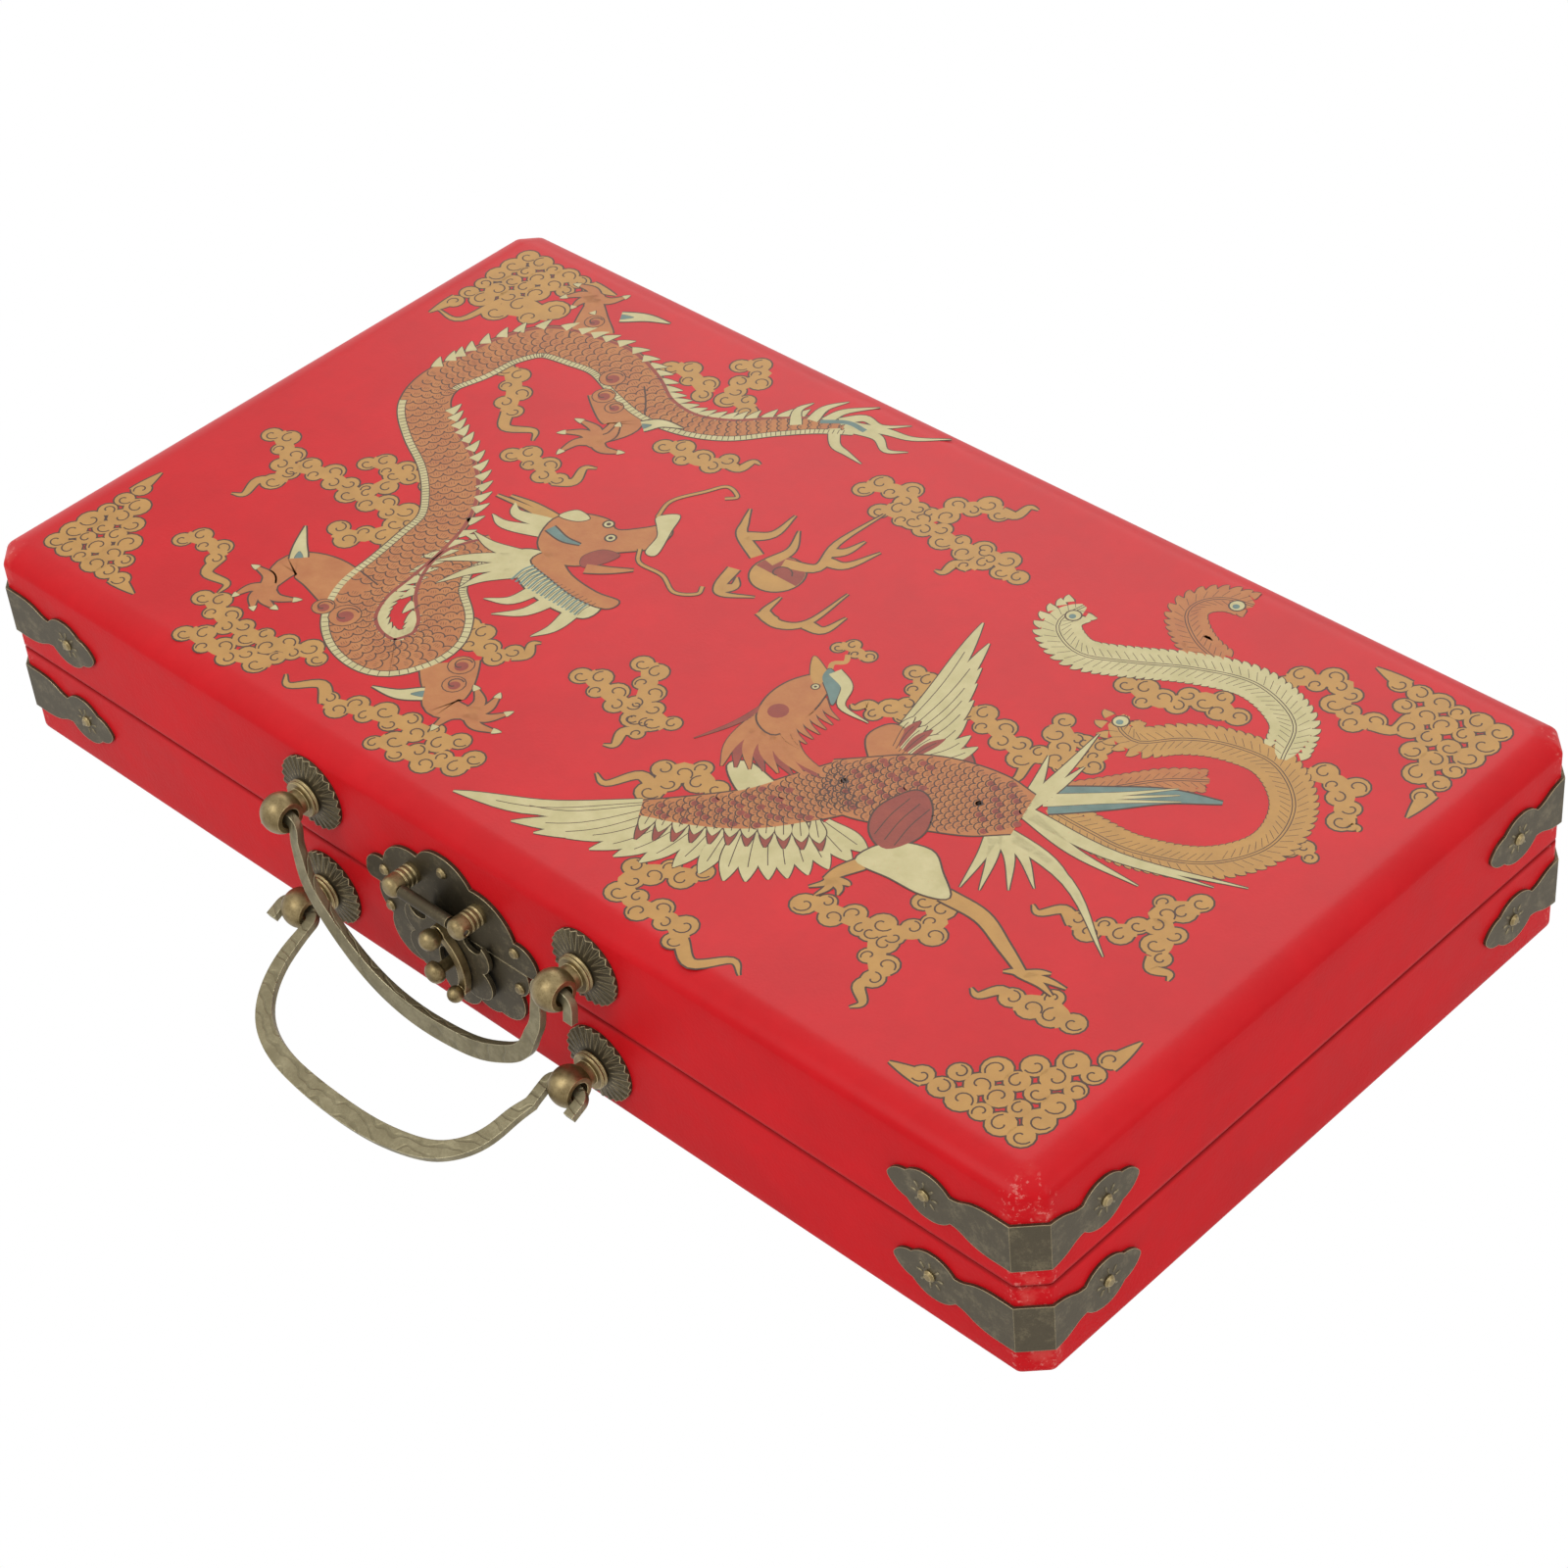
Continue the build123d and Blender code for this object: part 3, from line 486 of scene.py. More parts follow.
class Ink:
    """One colour of the print: slabs a few hundredths thick, gathered into one mesh."""

    def __init__(self, name, dark, light):
        self.name = name
        self.points = []
        self.faces = []
        self.slabs = 0
        shade = Shade(name)
        place = shade.place()
        cover = shade.noise(6.0, 4.0, 0.6, place).step_up(0.3, 0.7)
        thin = shade.noise(0.6, 3.0, 0.7, place).step_up(0.6, 0.75)
        colour = shade.mix(cover, dark, light)
        self.material = shade.finish(
            Base__Color=shade.mix(thin * 0.22, colour, (0.62, 0.07, 0.06)),
            Roughness=0.42 + cover * 0.08,
            Specular__IOR__Level=0.35,
            Normal=leather_grain(shade, place, 0.7),
        )

    def top(self, level):
        """Height of the next slab's top: its level, and a hair more than its neighbours'."""
        self.slabs += 1
        return print_top + level * layer + (self.slabs % hair_steps) * layer / (hair_steps + 1)

    def add(self, points, faces):
        """Joins a slab's points and faces to the ink's mesh."""
        start = len(self.points)
        self.points += points.tolist()
        self.faces += [[start + index for index in face] for face in faces]

    def strip(self, line, half, level):
        """Slab along a line in mm that reaches half to each side: four points at each step."""
        line = np.asarray(line, float)
        half = np.broadcast_to(half, len(line))
        along = np.gradient(line, axis=0)
        along /= np.linalg.norm(along, axis=1)[:, None] + 1e-9
        side = np.column_stack([-along[:, 1], along[:, 0]]) * half[:, None]
        rows = np.stack([line + side, line - side, line - side, line + side], 1) * MM
        top = self.top(level)
        heights = np.broadcast_to((print_floor, print_floor, top, top), rows.shape[:2])
        last = 4 * (len(line) - 1)
        row, column = np.meshgrid(np.arange(0, last, 4), np.arange(4), indexing="ij")
        beside = row + (column + 1) % 4
        faces = np.stack([row + column, row + column + 4, beside + 4, beside], -1).reshape(-1, 4).tolist()
        faces += [[0, 1, 2, 3], [last + 3, last + 2, last + 1, last]]
        self.add(np.concatenate([rows, heights[..., None]], 2).reshape(-1, 3), faces)

    def patch(self, outline, level):
        """Slab inside a closed outline in mm."""
        outline = anticlockwise(outline) * MM
        count = len(outline)
        low = np.column_stack([outline, np.full(count, print_floor)])
        high = np.column_stack([outline, np.full(count, self.top(level))])
        faces = [[i, (i + 1) % count, count + (i + 1) % count, count + i] for i in range(count)]
        faces += [list(range(count, 2 * count)), list(range(count))[::-1]]
        self.add(np.concatenate([low, high]), faces)

    def make(self):
        """Gives the lid the mesh of everything printed in this ink."""
        name = "print_" + self.name
        piece = new_piece(name, self.points, self.faces, "lid", self.material, smooth=False)


brown = Ink("ink_brown", (0.045, 0.02, 0.012), (0.075, 0.035, 0.018))
ochre = Ink("ochre", (0.42, 0.22, 0.055), (0.50, 0.27, 0.075))
orange = Ink("orange", (0.40, 0.13, 0.035), (0.47, 0.19, 0.06))
pale = Ink("pale_yellow", (0.47, 0.41, 0.19), (0.58, 0.51, 0.27))
teal = Ink("teal_grey", (0.09, 0.15, 0.13), (0.16, 0.24, 0.21))
maroon = Ink("maroon", (0.22, 0.035, 0.02), (0.30, 0.06, 0.035))


def smooth(points, per=5, closed=False):
    """Catmull-Rom curve through the points; every column is carried along."""
    points = np.asarray(points, float)
    if closed:
        padded = np.concatenate([points[-1:], points, points[:2]])
    else:
        padded = np.concatenate([2 * points[:1] - points[1:2], points, 2 * points[-1:] - points[-2:-1]])
    before, here, after, beyond = padded[:-3], padded[1:-2], padded[2:-1], padded[3:]
    share = np.arange(per)[:, None, None] / per
    curve = 0.5 * (
        2 * here
        + (after - before) * share
        + (2 * before - 5 * here + 4 * after - beyond) * share**2
        + (3 * here - before - 3 * after + beyond) * share**3
    )
    curve = curve.transpose(1, 0, 2).reshape(-1, points.shape[1])
    return curve if closed else np.concatenate([curve, points[-1:]])


def paced(line, step):
    """The line again with its points a step apart."""
    line = np.asarray(line, float)
    run = np.concatenate([[0], np.cumsum(np.linalg.norm(np.diff(line[:, :2], axis=0), axis=1))])
    marks = np.linspace(0, run[-1], max(int(run[-1] / step), 2) + 1)
    return np.column_stack([np.interp(marks, run, column) for column in line.T])


def normals(line):
    """Unit vectors to the left of a line."""
    along = np.gradient(line[:, :2], axis=0)
    along /= np.linalg.norm(along, axis=1)[:, None] + 1e-9
    return np.column_stack([-along[:, 1], along[:, 0]])


def circle(x, y, radius, count=14):
    """Points round a circle."""
    turn = np.arange(count) * 2 * math.pi / count
    return np.column_stack([x + radius * np.cos(turn), y + radius * np.sin(turn)])


def brush(ink, points, half, level, tip=0.12, edge=ink_edge):
    """Outlined stroke that tapers from half at its start to a tip."""
    line = smooth(points, 6)
    share = np.linspace(0, 1, len(line))
    width = half * (1 - share**1.6) + tip
    brown.strip(line, width + edge, level)
    ink.strip(line, width, level + 1)


def shape(ink, points, level, edge=ink_edge):
    """Outlined closed shape through listed points."""
    outline = anticlockwise(smooth(points, 5, closed=True))
    closed = np.concatenate([outline[-1:], outline, outline[:1]])
    outward = -normals(closed)[1:-1]
    brown.patch(outline + outward * edge, level)
    ink.patch(outline, level + 1)


def line_work(points, half=0.16, level=6, ink=brown):
    """Smooth line without an outline."""
    ink.strip(smooth(points, 5), half, level)


def curl(x, y, radius, start, hand, level):
    """Spiral line that winds from a lobe's rim to its middle."""
    share = np.linspace(0, 1, 12)
    turn = start + hand * share * 4.6
    reach = radius * (0.98 - 0.74 * share)
    brown.strip(np.column_stack([x + reach * np.cos(turn), y + reach * np.sin(turn)]), 0.2, level)


# ---------------------------------------------------------------- printed clouds
# Ochre clouds of round lobes, each lobe with a brown curl, some of them trailing off in a tail.
# A triangle of the same lobes fills each corner of the lid.


def lobes(places, radius, level=1):
    """Overlapping round lobes with a common brown rim, each with a curl."""
    for index, (x, y) in enumerate(places):
        size = radius * (0.92 + 0.16 * math.sin(index * 2.4))
        brown.patch(circle(x, y, size + ink_edge), level - 1)
        ochre.patch(circle(x, y, size), level)
        hand = 1 if index % 2 else -1
        curl(x, y, size * 0.82, index * 2.1, hand, level + 1)


def cloud(spine, tail=None, size=3.0):
    """Cloud: lobes set left and right of a bent spine, and a thin tail that trails off."""
    line = paced(smooth(spine, 6), size * 1.15)
    left = normals(line)
    swing = np.where(np.arange(len(line)) % 2, 1, -1)[:, None] * size * 0.55
    lobes(line + left * swing, size)
    ochre.strip(line, size * 0.7, 1.2)
    if tail:
        start = np.array(spine[-1], float)
        end = np.array(tail, float)
        bend = (end - start)[::-1] * (0.22, -0.22)
        first_bow = start * 0.6 + end * 0.4 + bend
        second_bow = start * 0.25 + end * 0.75 - bend * 0.6
        brush(ochre, [start, first_bow, second_bow, end], 1.5, 0.1)


cloud([(-78, 82), (-70, 81), (-72, 70), (-62, 68)], (-52, 60))
cloud([(-92, 70), (-84, 69), (-76, 66)])
cloud([(-150, 60), (-143, 63), (-136, 66)], (-163, 49), 4.2)
cloud([(-126, 42), (-118, 36), (-112, 28)], (-97, 23))
cloud([(-97, 17), (-88, 17), (-80, 14)], (-75, 25))
cloud([(-153, -16), (-146, -19), (-140, -24), (-136, -30)], (-142, -41))
cloud([(-138, -23), (-128, -20), (-118, -21), (-106, -20), (-96, -19), (-86, -18)])
cloud([(-124, -9), (-113, -7), (-104, -5)], None, 2.8)
cloud([(-113, -10), (-114, -18)], None, 2.8)
cloud([(-97, -24), (-101, -32), (-108, -35)], None, 3.2)
cloud([(-84, -22), (-82, -30), (-92, -28)], None, 3.2)
cloud([(-137, -60), (-130, -58), (-123, -60)], (-112, -70), 2.8)
cloud([(-113, -72), (-100, -76), (-85, -74), (-73, -70)])
cloud([(-106, -84), (-92, -84), (-80, -79)])
cloud([(-22, -72), (-36, -74), (-48, -77), (-58, -81)], (-74, -80))
cloud([(-14, -74), (-24, -80), (-38, -82)])
cloud([(-52, -38), (-44, -44), (-36, -41)], (-34, -33))
cloud([(-68, 44), (-58, 43), (-50, 47)], (-43, 52))
cloud([(-16, 62), (-6, 66), (4, 60), (10, 71), (18, 75)], (25, 81))
cloud([(-6, 58), (8, 59), (20, 58), (30, 60), (38, 56)])
cloud([(27, 60), (27, 53)], (21, 47), 2.6)
cloud([(-8, -22), (-2, -28), (2, -34), (12, -36)])
cloud([(-17, -34), (-8, -36), (4, -37)])
cloud([(4, -38), (9, -41)], (5, -50), 2.4)
cloud([(36, -46), (30, -43), (24, -46), (27, -54)], (11, -58), 3.2)
cloud([(23, 11.5), (27, 12.5), (31, 11.5)], None, 1.9)
line_work([(27, 10), (28.4, 7.5), (26.4, 5.4), (27.6, 3)], 0.7, 1, ochre)
cloud([(45, 16), (50, 10), (52, 3), (46, -1)], (40, -3), 2.8)
cloud([(63, 13), (74, 11), (85, 9), (90, 17), (82, 22)])
cloud([(92, 22), (98, 18), (92, 12)], (84, -1), 2.6)
cloud([(113, 67), (120, 72), (125, 74), (130, 66), (138, 66)], (146, 75))
cloud([(137, 44), (147, 46), (150, 40), (154, 37)], (158, 35))
cloud([(86, 44), (95, 42), (104, 51), (112, 48)])
cloud([(150, 22), (155, 23)], None, 2.2)
cloud([(147, -6), (140, -12), (147, -17), (149, -24)], (156, -28))
cloud([(141, -20), (134, -25), (129, -27)], (118, -28), 2.8)
cloud([(100, -41), (107, -47), (100, -54), (88, -57), (79, -58)])
cloud([(98, -56), (103, -62), (108, -66)], (109, -77))
cloud([(148, -52), (141, -49), (135, -54)], (125, -56), 3.2)
cloud([(55, -68), (47, -72), (42, -77), (48, -83), (60, -82), (66, -85)], (84, -85))

corner_rows = 6
for sign_x, sign_y, reach_x, reach_y in ((1, -1, 33, 34), (1, 1, 33, 34), (-1, 1, 31, 33), (-1, -1, 31, 33)):
    spots = [
        (sign_x * (162 - reach_x * column / corner_rows), sign_y * (82 - reach_y * row / corner_rows))
        for row in range(corner_rows)
        for column in range(corner_rows - row)
    ]
    lobes(spots, 3.3)
    tip_x, tip_y = sign_x * 162.5, sign_y * 82.5
    far_x, far_y = tip_x - sign_x * (reach_x + 3), tip_y - sign_y * (reach_y + 3)
    brush(ochre, [(tip_x - sign_x * reach_x * 0.8, tip_y), (far_x, tip_y + sign_y)], 2.0, 0.1)
    brush(ochre, [(tip_x, tip_y - sign_y * reach_y * 0.8), (tip_x + sign_x, far_y)], 2.0, 0.1)

# ---------------------------------------------------------------- printed pearl
# A disc, half maroon and half ochre, with ochre flames round it, in the middle of the lid
# between the dragon and the phoenix.

pearl_x, pearl_y, pearl_radius = -8, 22, 6.9
half_turn = np.linspace(-0.1, math.pi + 0.1, 16)
half_disc = np.column_stack([np.cos(half_turn), np.sin(half_turn)]) * (pearl_radius - 0.1)
brown.patch(circle(pearl_x, pearl_y, pearl_radius + 0.5, 30), 1)
ochre.patch(circle(pearl_x, pearl_y, pearl_radius, 30), 2)
maroon.patch(half_disc + (pearl_x, pearl_y), 3)
curl(pearl_x, pearl_y + 0.5, 3.6, 0.3, 1, 4)
for flame in (
    [(-10, 26), (-2, 30), (-5, 40), (-4, 56)],
    [(-2, 33), (3, 35), (6, 44)],
    [(-4, 36), (-1, 39), (0, 45)],
    [(-13, 24), (-12, 31), (-16, 38)],
    [(-17, 24), (-26, 28), (-29, 32), (-32, 37)],
    [(-25, 28), (-20, 33), (-21, 42)],
    [(-1, 9), (6, 8), (11, 13), (11, 27)],
    [(11, 12), (16, 13), (17, 20)],
    [(4, 8), (0, 9), (-1, 16)],
    [(-18, 17), (-16, 10), (-13, 8), (-6, 12)],
    [(-15, 9), (-13, 12), (-15, 15)],
):
    brush(ochre, flame, 1.5, 2)

# ---------------------------------------------------------------- printed dragon
# One long scaled orange body with a fin of pale spines, a ribbed pale belly, four clawed feet,
# a flaming tail and a horned head with mane, whiskers and beard.  Each point of its spine is X, Y
# and the body's half width there.

dragon_spine = [
    (-70.9, -13.9, 5.5), (-74.5, -23.9, 6.1), (-69.1, -34.5, 6.5), (-59.1, -42.1, 7.0), (-55.0, -50.4, 7.3),
    (-59.1, -59.8, 7.3), (-68.5, -60.9, 7.0), (-77.9, -56.2, 7.0), (-83.8, -46.8, 7.5), (-85.6, -35.0, 7.5),
    (-87.4, -24.5, 7.5), (-90.3, -13.9, 7.0), (-97.9, -4.5, 7.5), (-108.5, 3.2, 7.3), (-121.5, 9.4, 7.0),
    (-132.1, 16.7, 6.8), (-136.4, 26.1, 6.5), (-134.4, 36.7, 7.0), (-133.0, 47.3, 7.0), (-127.4, 56.7, 7.3),
    (-116.0, 59.8, 7.4), (-106.2, 60.8, 7.5), (-94.4, 57.3, 7.5), (-82.6, 53.2, 6.0), (-70.9, 53.2, 5.0),
    (-60.3, 57.9, 4.8), (-52.1, 66.1, 4.3), (-43.8, 73.2, 3.6), (-34.4, 77.9, 2.2),
]

# Body, ribbed belly and the spines of the fin, which change sides where the body crosses itself.
body = paced(smooth(dragon_spine, 6), 1.3)
left = normals(body)
width = body[:, 2]
back_side = np.where(np.arange(len(body)) < len(body) * 0.56, -1.0, 1.0)
brown.strip(body[:, :2], width + ink_edge, 4)
orange.strip(body[:, :2], width, 5)
belly = body[:, :2] - left * (back_side * (width - 0.8))[:, None]
for part in (slice(0, int(len(body) * 0.55)), slice(int(len(body) * 0.57), len(body))):
    brown.strip(belly[part], 1.15, 6)
    pale.strip(belly[part], 0.9, 7)
for index in range(2, len(body) - 2):
    across = left[index] * -back_side[index]
    rib = body[index, :2] + across * width[index]
    brown.strip([rib - across * 1.7, rib], 0.1, 8)
for index in range(3, len(body) - 2, 3):
    outward = left[index] * back_side[index]
    forward = np.array((left[index][1], -left[index][0]))
    root = body[index, :2] + outward * (width[index] - 0.6)
    if not 0.53 < index / len(body) < 0.58:
        tip = root + outward * 3.6 + forward * 1.9
        brush(pale, [root - forward * 1.2, root + outward * 1.6, tip], 1.5, 5, 0.05, 0.28)


def one_scale(centre, forward, size, level):
    """A scale: an arc bowed forwards with three short lines at its root."""
    turn = np.linspace(-1.35, 1.35, 7)
    side = np.array((-forward[1], forward[0]))
    arc = centre + size * (np.cos(turn)[:, None] * forward + np.sin(turn)[:, None] * side)
    brown.strip(arc, 0.17, level)
    for lean in (-0.35, 0.0, 0.35):
        root = centre + side * size * lean
        brown.strip([root - forward * size * 0.2, root + forward * size * 0.35], 0.06, level)


for index in range(2, len(body) - 3, 2):
    forward = np.array((-left[index][1], left[index][0]))
    for row in np.arange(-2, 3) + (0.5 if index % 4 else 0.0):
        offset = row * width[index] * 0.46
        if abs(offset) < width[index] * 0.8:
            one_scale(body[index, :2] + left[index] * offset, forward, width[index] * 0.25, 6)
shadow = body[:, :2] + left * (back_side * (width - 0.7))[:, None]
maroon.strip(shadow[2:int(len(body) * 0.5)], 0.5, 6.5)
maroon.strip(shadow[int(len(body) * 0.6):-3], 0.5, 6.5)

# Flames of the tail.
for flame in (
    [(-38, 78), (-28, 82), (-20, 84), (-12, 90)],
    [(-37, 77), (-28, 79), (-22, 76), (-17, 79)],
    [(-39, 75), (-34, 70), (-29, 69), (-23, 68)],
    [(-40, 78), (-36, 83), (-30, 83), (-24, 88)],
    [(-43, 76), (-42, 82), (-36, 89)],
    [(-46, 74), (-47, 80), (-44, 86)],
    [(-48, 70), (-52, 75), (-51, 80)],
):
    brush(pale, flame, 1.5, 6, 0.05, 0.3)
teal.strip(smooth([(-44, 75), (-38, 79), (-32, 79)], 5), 0.8, 8)


def foot(ankle, toes, root, half):
    """Leg from the body to the ankle and a clawed foot with pale talons."""
    brush(orange, root + [ankle], half, 5, 1.6)
    brown.patch(circle(*ankle, 3.1), 5)
    orange.patch(circle(*ankle, 2.7), 6.5)
    for toe in toes:
        start = np.array(ankle, float)
        end = np.array(toe, float)
        bend = (end - start)[::-1] * (0.18, -0.18)
        brush(orange, [start, (start + end) / 2 + bend, end], 1.3, 5.5, 0.5)
        brush(pale, [end, end + (end - start) * 0.22 - bend * 0.8], 0.9, 7.5, 0.05, 0.25)


foot(
    (-132, 79),
    [(-140, 81), (-139, 75), (-134, 73), (-128, 74), (-126, 84)],
    [(-120, 66), (-125, 71)],
    4.2,
)
foot(
    (-84, 33),
    [(-93, 37), (-93, 31), (-88, 25), (-84, 41), (-76, 33)],
    [(-96, 52), (-88, 46), (-83, 42)],
    5.6,
)
foot(
    (-104, -61),
    [(-112, -57), (-95, -60), (-101, -68), (-108, -67), (-97, -65)],
    [(-84, -50), (-98, -48), (-106, -51)],
    5.5,
)
foot(
    (-28, -62),
    [(-33, -55), (-27, -54), (-21, -57), (-19, -63), (-31, -70)],
    [(-46, -52), (-40, -58), (-35, -64)],
    5.6,
)

# Curled muscles of the legs and the tufts behind them.
for x, y, radius in (
    (-101, 55.5, 3.4), (-97, 48.5, 3.0), (-91, 46.5, 2.4), (-80, -56, 4.0),
    (-87, -57, 2.8), (-43, -51, 3.2), (-39, -57, 2.8), (-124, 71, 2.6),
):
    brown.patch(circle(x, y, radius + 0.3), 8)
    orange.patch(circle(x, y, radius), 9)
    maroon.patch(circle(x + 0.4, y - 0.3, radius * 0.55), 9.6)
    curl(x, y, radius * 0.9, 1.0, 1, 10.4)
for tuft in (
    [(-120, 77), (-114, 81), (-107, 83)],
    [(-79, 45), (-76, 49), (-70, 51)],
    [(-107, -48), (-111, -44), (-116, -38)],
    [(-42, -64), (-47, -68), (-54, -70)],
):
    brush(pale, tuft, 2.2, 7, 0.05)
    brush(teal, [tuft[0], np.mean(tuft[:2], 0)], 1.0, 8.5, 0.1, 0.1)

# Mane and horns.
for strand in (
    [(-66, -2), (-76, -6), (-82, -5)], [(-68, 1), (-77, -1), (-81, 2)], [(-62, -12), (-72, -14), (-80, -13)],
    [(-62, -13), (-72, -20), (-79, -27)], [(-60, -14), (-68, -23), (-72, -33)],
    [(-58, -16), (-64, -24), (-66, -31)], [(-50, -17), (-52, -26), (-58, -30)],
    [(-44, -18), (-46, -27), (-52, -33)], [(-37, -19), (-36, -27), (-38, -33)],
):
    brush(pale, strand, 2.2, 8, 0.05, 0.3)
brush(ochre, [(-67, 2), (-76, 2.4), (-87, 1.2)], 0.9, 8, 0.3)
brush(ochre, [(-66, 4), (-76, 4.2), (-84, 3.2)], 0.8, 8, 0.3)

# Beard under the lower jaw, then the jaw, the upper head, tongue, snout and brow.
beard = [
    (-60, -8), (-50, -13), (-40, -13), (-33, -14), (-33, -20), (-42, -22), (-52, -21), (-61, -17), (-66, -12),
]
shape(pale, beard, 9)
for x in np.arange(-58, -34, 1.5):
    line_work([(x, -13), (x - 0.8, -16), (x - 0.2, -20.5)], 0.3, 11, teal)
    line_work([(x + 0.7, -14), (x, -17), (x + 0.4, -20)], 0.1, 11.5)
jaw = [(-58, -6), (-48, -10), (-38, -11), (-31, -10), (-31.5, -14), (-40, -15.5), (-52, -14), (-60, -12)]
shape(orange, jaw, 10)
upper_head = [
    (-68, 3), (-64, 9), (-57, 11.5), (-52, 10), (-47, 15), (-44, 19), (-40, 17),
    (-40, 10), (-45, 4), (-49, 0), (-49, -6), (-56, -9), (-64, -6),
]
shape(orange, upper_head, 10)
shape(maroon, [(-49, 2), (-44, 3), (-45, -2), (-48, -6), (-51, -3)], 12, 0.2)
brush(orange, [(-47, -6), (-42, -3), (-37, 1)], 1.4, 12.5, 0.3)
shape(pale, [(-48, 20), (-44, 24), (-41, 18), (-37, 9), (-40, 8), (-42, 14), (-45, 17)], 12, 0.3)
shape(pale, [(-68, 5), (-66, 9.5), (-61, 9), (-63, 6)], 12, 0.3)
for eye in ((-55.5, 10.3), (-51, 6.6)):
    brown.patch(circle(*eye, 1.7), 12)
    pale.patch(circle(*eye, 1.2), 13)
    brown.patch(circle(*eye, 0.6), 14)
brush(teal, [(-66, 0), (-60, -1), (-55, 0)], 1.1, 12, 0.2)
for whisker in (
    [(-48, 20), (-50, 27), (-46, 35), (-43, 40), (-38, 38.5), (-40, 36)],
    [(-42, 8), (-38, 4), (-30, 4), (-23, 1), (-18, 4), (-19, 7)],
):
    brown.strip(smooth(whisker, 6), 0.75, 12)
    ochre.strip(smooth(whisker, 6), 0.42, 13)

# ---------------------------------------------------------------- printed phoenix
# A bird with a scaled orange body, two wings of pale feathers, long tail plumes with flame-shaped
# barbs that end in eyes, and a crested head that looks towards the dragon.


def plume(ink, points, half, level, barb=2.3):
    """Long tail feather with flame-shaped barbs on both edges and a double shaft line."""
    line = paced(smooth(points, 8), 2.0)
    side = normals(line)
    for index in range(1, len(line) - 1):
        ahead = np.array((side[index][1], -side[index][0]))
        for hand in (-1, 1):
            root = line[index] + side[index] * hand * (half - 0.8)
            tip = root + side[index] * hand * barb + ahead * 1.6
            brush(ink, [root, (root + tip) / 2 + side[index] * hand * 0.3, tip], 1.25, level, 0.05, 0.28)
    share = np.linspace(0, 1, len(line))
    width = half * np.sqrt(np.clip(1.05 - (2 * share - 1) ** 6, 0.05, 1))
    ink.strip(line, width, level + 1.5)
    for hand in (-0.35, 0.35):
        brown.strip(line + side * hand, 0.12, level + 2.5)
    for index in range(1, len(line) - 1):
        ahead = np.array((side[index][1], -side[index][0]))
        for hand in (-1, 1):
            start = line[index] + side[index] * hand * 0.8
            brown.strip([start, start + side[index] * hand * (half - 1.6) + ahead * 1.8], 0.07, level + 2.2)


looped_plume = [
    (100, -2), (112, -2), (124, -1), (138.6, 6), (146, 19), (142, 33),
    (130, 41.5), (117.4, 40.5), (108, 35.5), (101, 28.5), (94, 29.6), (92.7, 34),
]
pale_plume = [
    (130, 44), (124, 56), (109, 61.5), (94, 57), (81, 49.6), (70, 44.5), (61, 47), (57.4, 52), (58.6, 59),
]
plume(ochre, looped_plume, 4.0, 4)
plume(orange, [(98, 62), (88, 65), (80, 71), (79, 77), (83, 82), (90, 84)], 3.6, 4)
plume(pale, pale_plume, 4.3, 5)
plume(orange, [(98, 2), (106, 12), (114, 22), (122, 28)], 3.2, 4, 1.2)
brush(teal, [(98, 0), (108, 9), (118, 18), (129, 24)], 4.2, 6, 0.4)
for offset in (-1.6, 0.0, 1.6):
    brush(pale, [(98, offset), (109, 10 + offset), (120 - offset, 20 + offset)], 0.8, 7.5, 0.1, 0.15)
for eye in ((59, 54.5), (93, 31.5), (87, 81.5)):
    brown.patch(circle(*eye, 2.2), 9)
    pale.patch(circle(*eye, 1.8), 10)
    teal.patch(circle(eye[0], eye[1] - 0.4, 0.9), 11)
for tip, bend in (
    ((151, 5.5), -7), ((145, 1), -5), ((132, -9), -3), ((140.6, -31), 8), ((128, -22), 5), ((115, -24), 3),
    ((111, -28), 3), ((106, -32), 2), ((102, -34), 2), ((92, 25), 2), ((97, 14), 2), ((88, 12), 1),
):
    end = np.array(tip, float)
    start = np.array((96, -6)) if tip[1] > -20 else np.array((95, -14))
    middle = (start + end) / 2 + (0.15 * bend, bend * 0.6)
    brush(pale, [start, middle, end], 1.7, 8, 0.08, 0.3)


def feather(ink, points, half, level, shaft=True):
    """Outlined feather, widest past its middle, with a shaft line."""
    line = smooth(points, 6)
    share = np.linspace(0, 1, len(line))
    swell = 0.5 + 0.5 * np.sin(math.pi * np.minimum(share * 1.05, 1) ** 1.3)
    width = half * swell * np.sqrt(1.02 - share**6)
    brown.strip(line, width + 0.3, level)
    ink.strip(line, width, level + 1)
    if shaft:
        brown.strip(line[:-3], 0.11, level + 2)


# The far wing, with its shoulder.
far_wing_tips = [(44, 39), (50.4, 34), (55, 26), (58, 21), (61.5, 16), (65, 9.6), (69.5, 6), (73.5, 4)]
for index, tip in enumerate(far_wing_tips):
    share = index / (len(far_wing_tips) - 1)
    root = np.array((56, -5)) * (1 - share) + np.array((66, -9)) * share
    tip = np.array(tip, float)
    middle = (root + tip) / 2 + (1.5, 0)
    feather(pale, [root, middle, tip], 2.3 - 0.4 * share, 7 + 0.3 * index)
for index in range(6):
    root = np.array((58 + 1.2 * index, -8 - 0.3 * index))
    line = [root, root + (-2.5 + index * 0.6, 6), root + (-3.2 + index, 11)]
    feather(maroon if index % 2 else pale, line, 1.3, 9.6)
shape(orange, [(52, -3), (51, -9), (56, -14), (62, -17), (67, -12), (64, -8), (59, -7), (56, -2)], 10)
shape(maroon, [(68, 2), (67, -6), (70, -12), (76, -9), (78, -3), (74, 1)], 9)

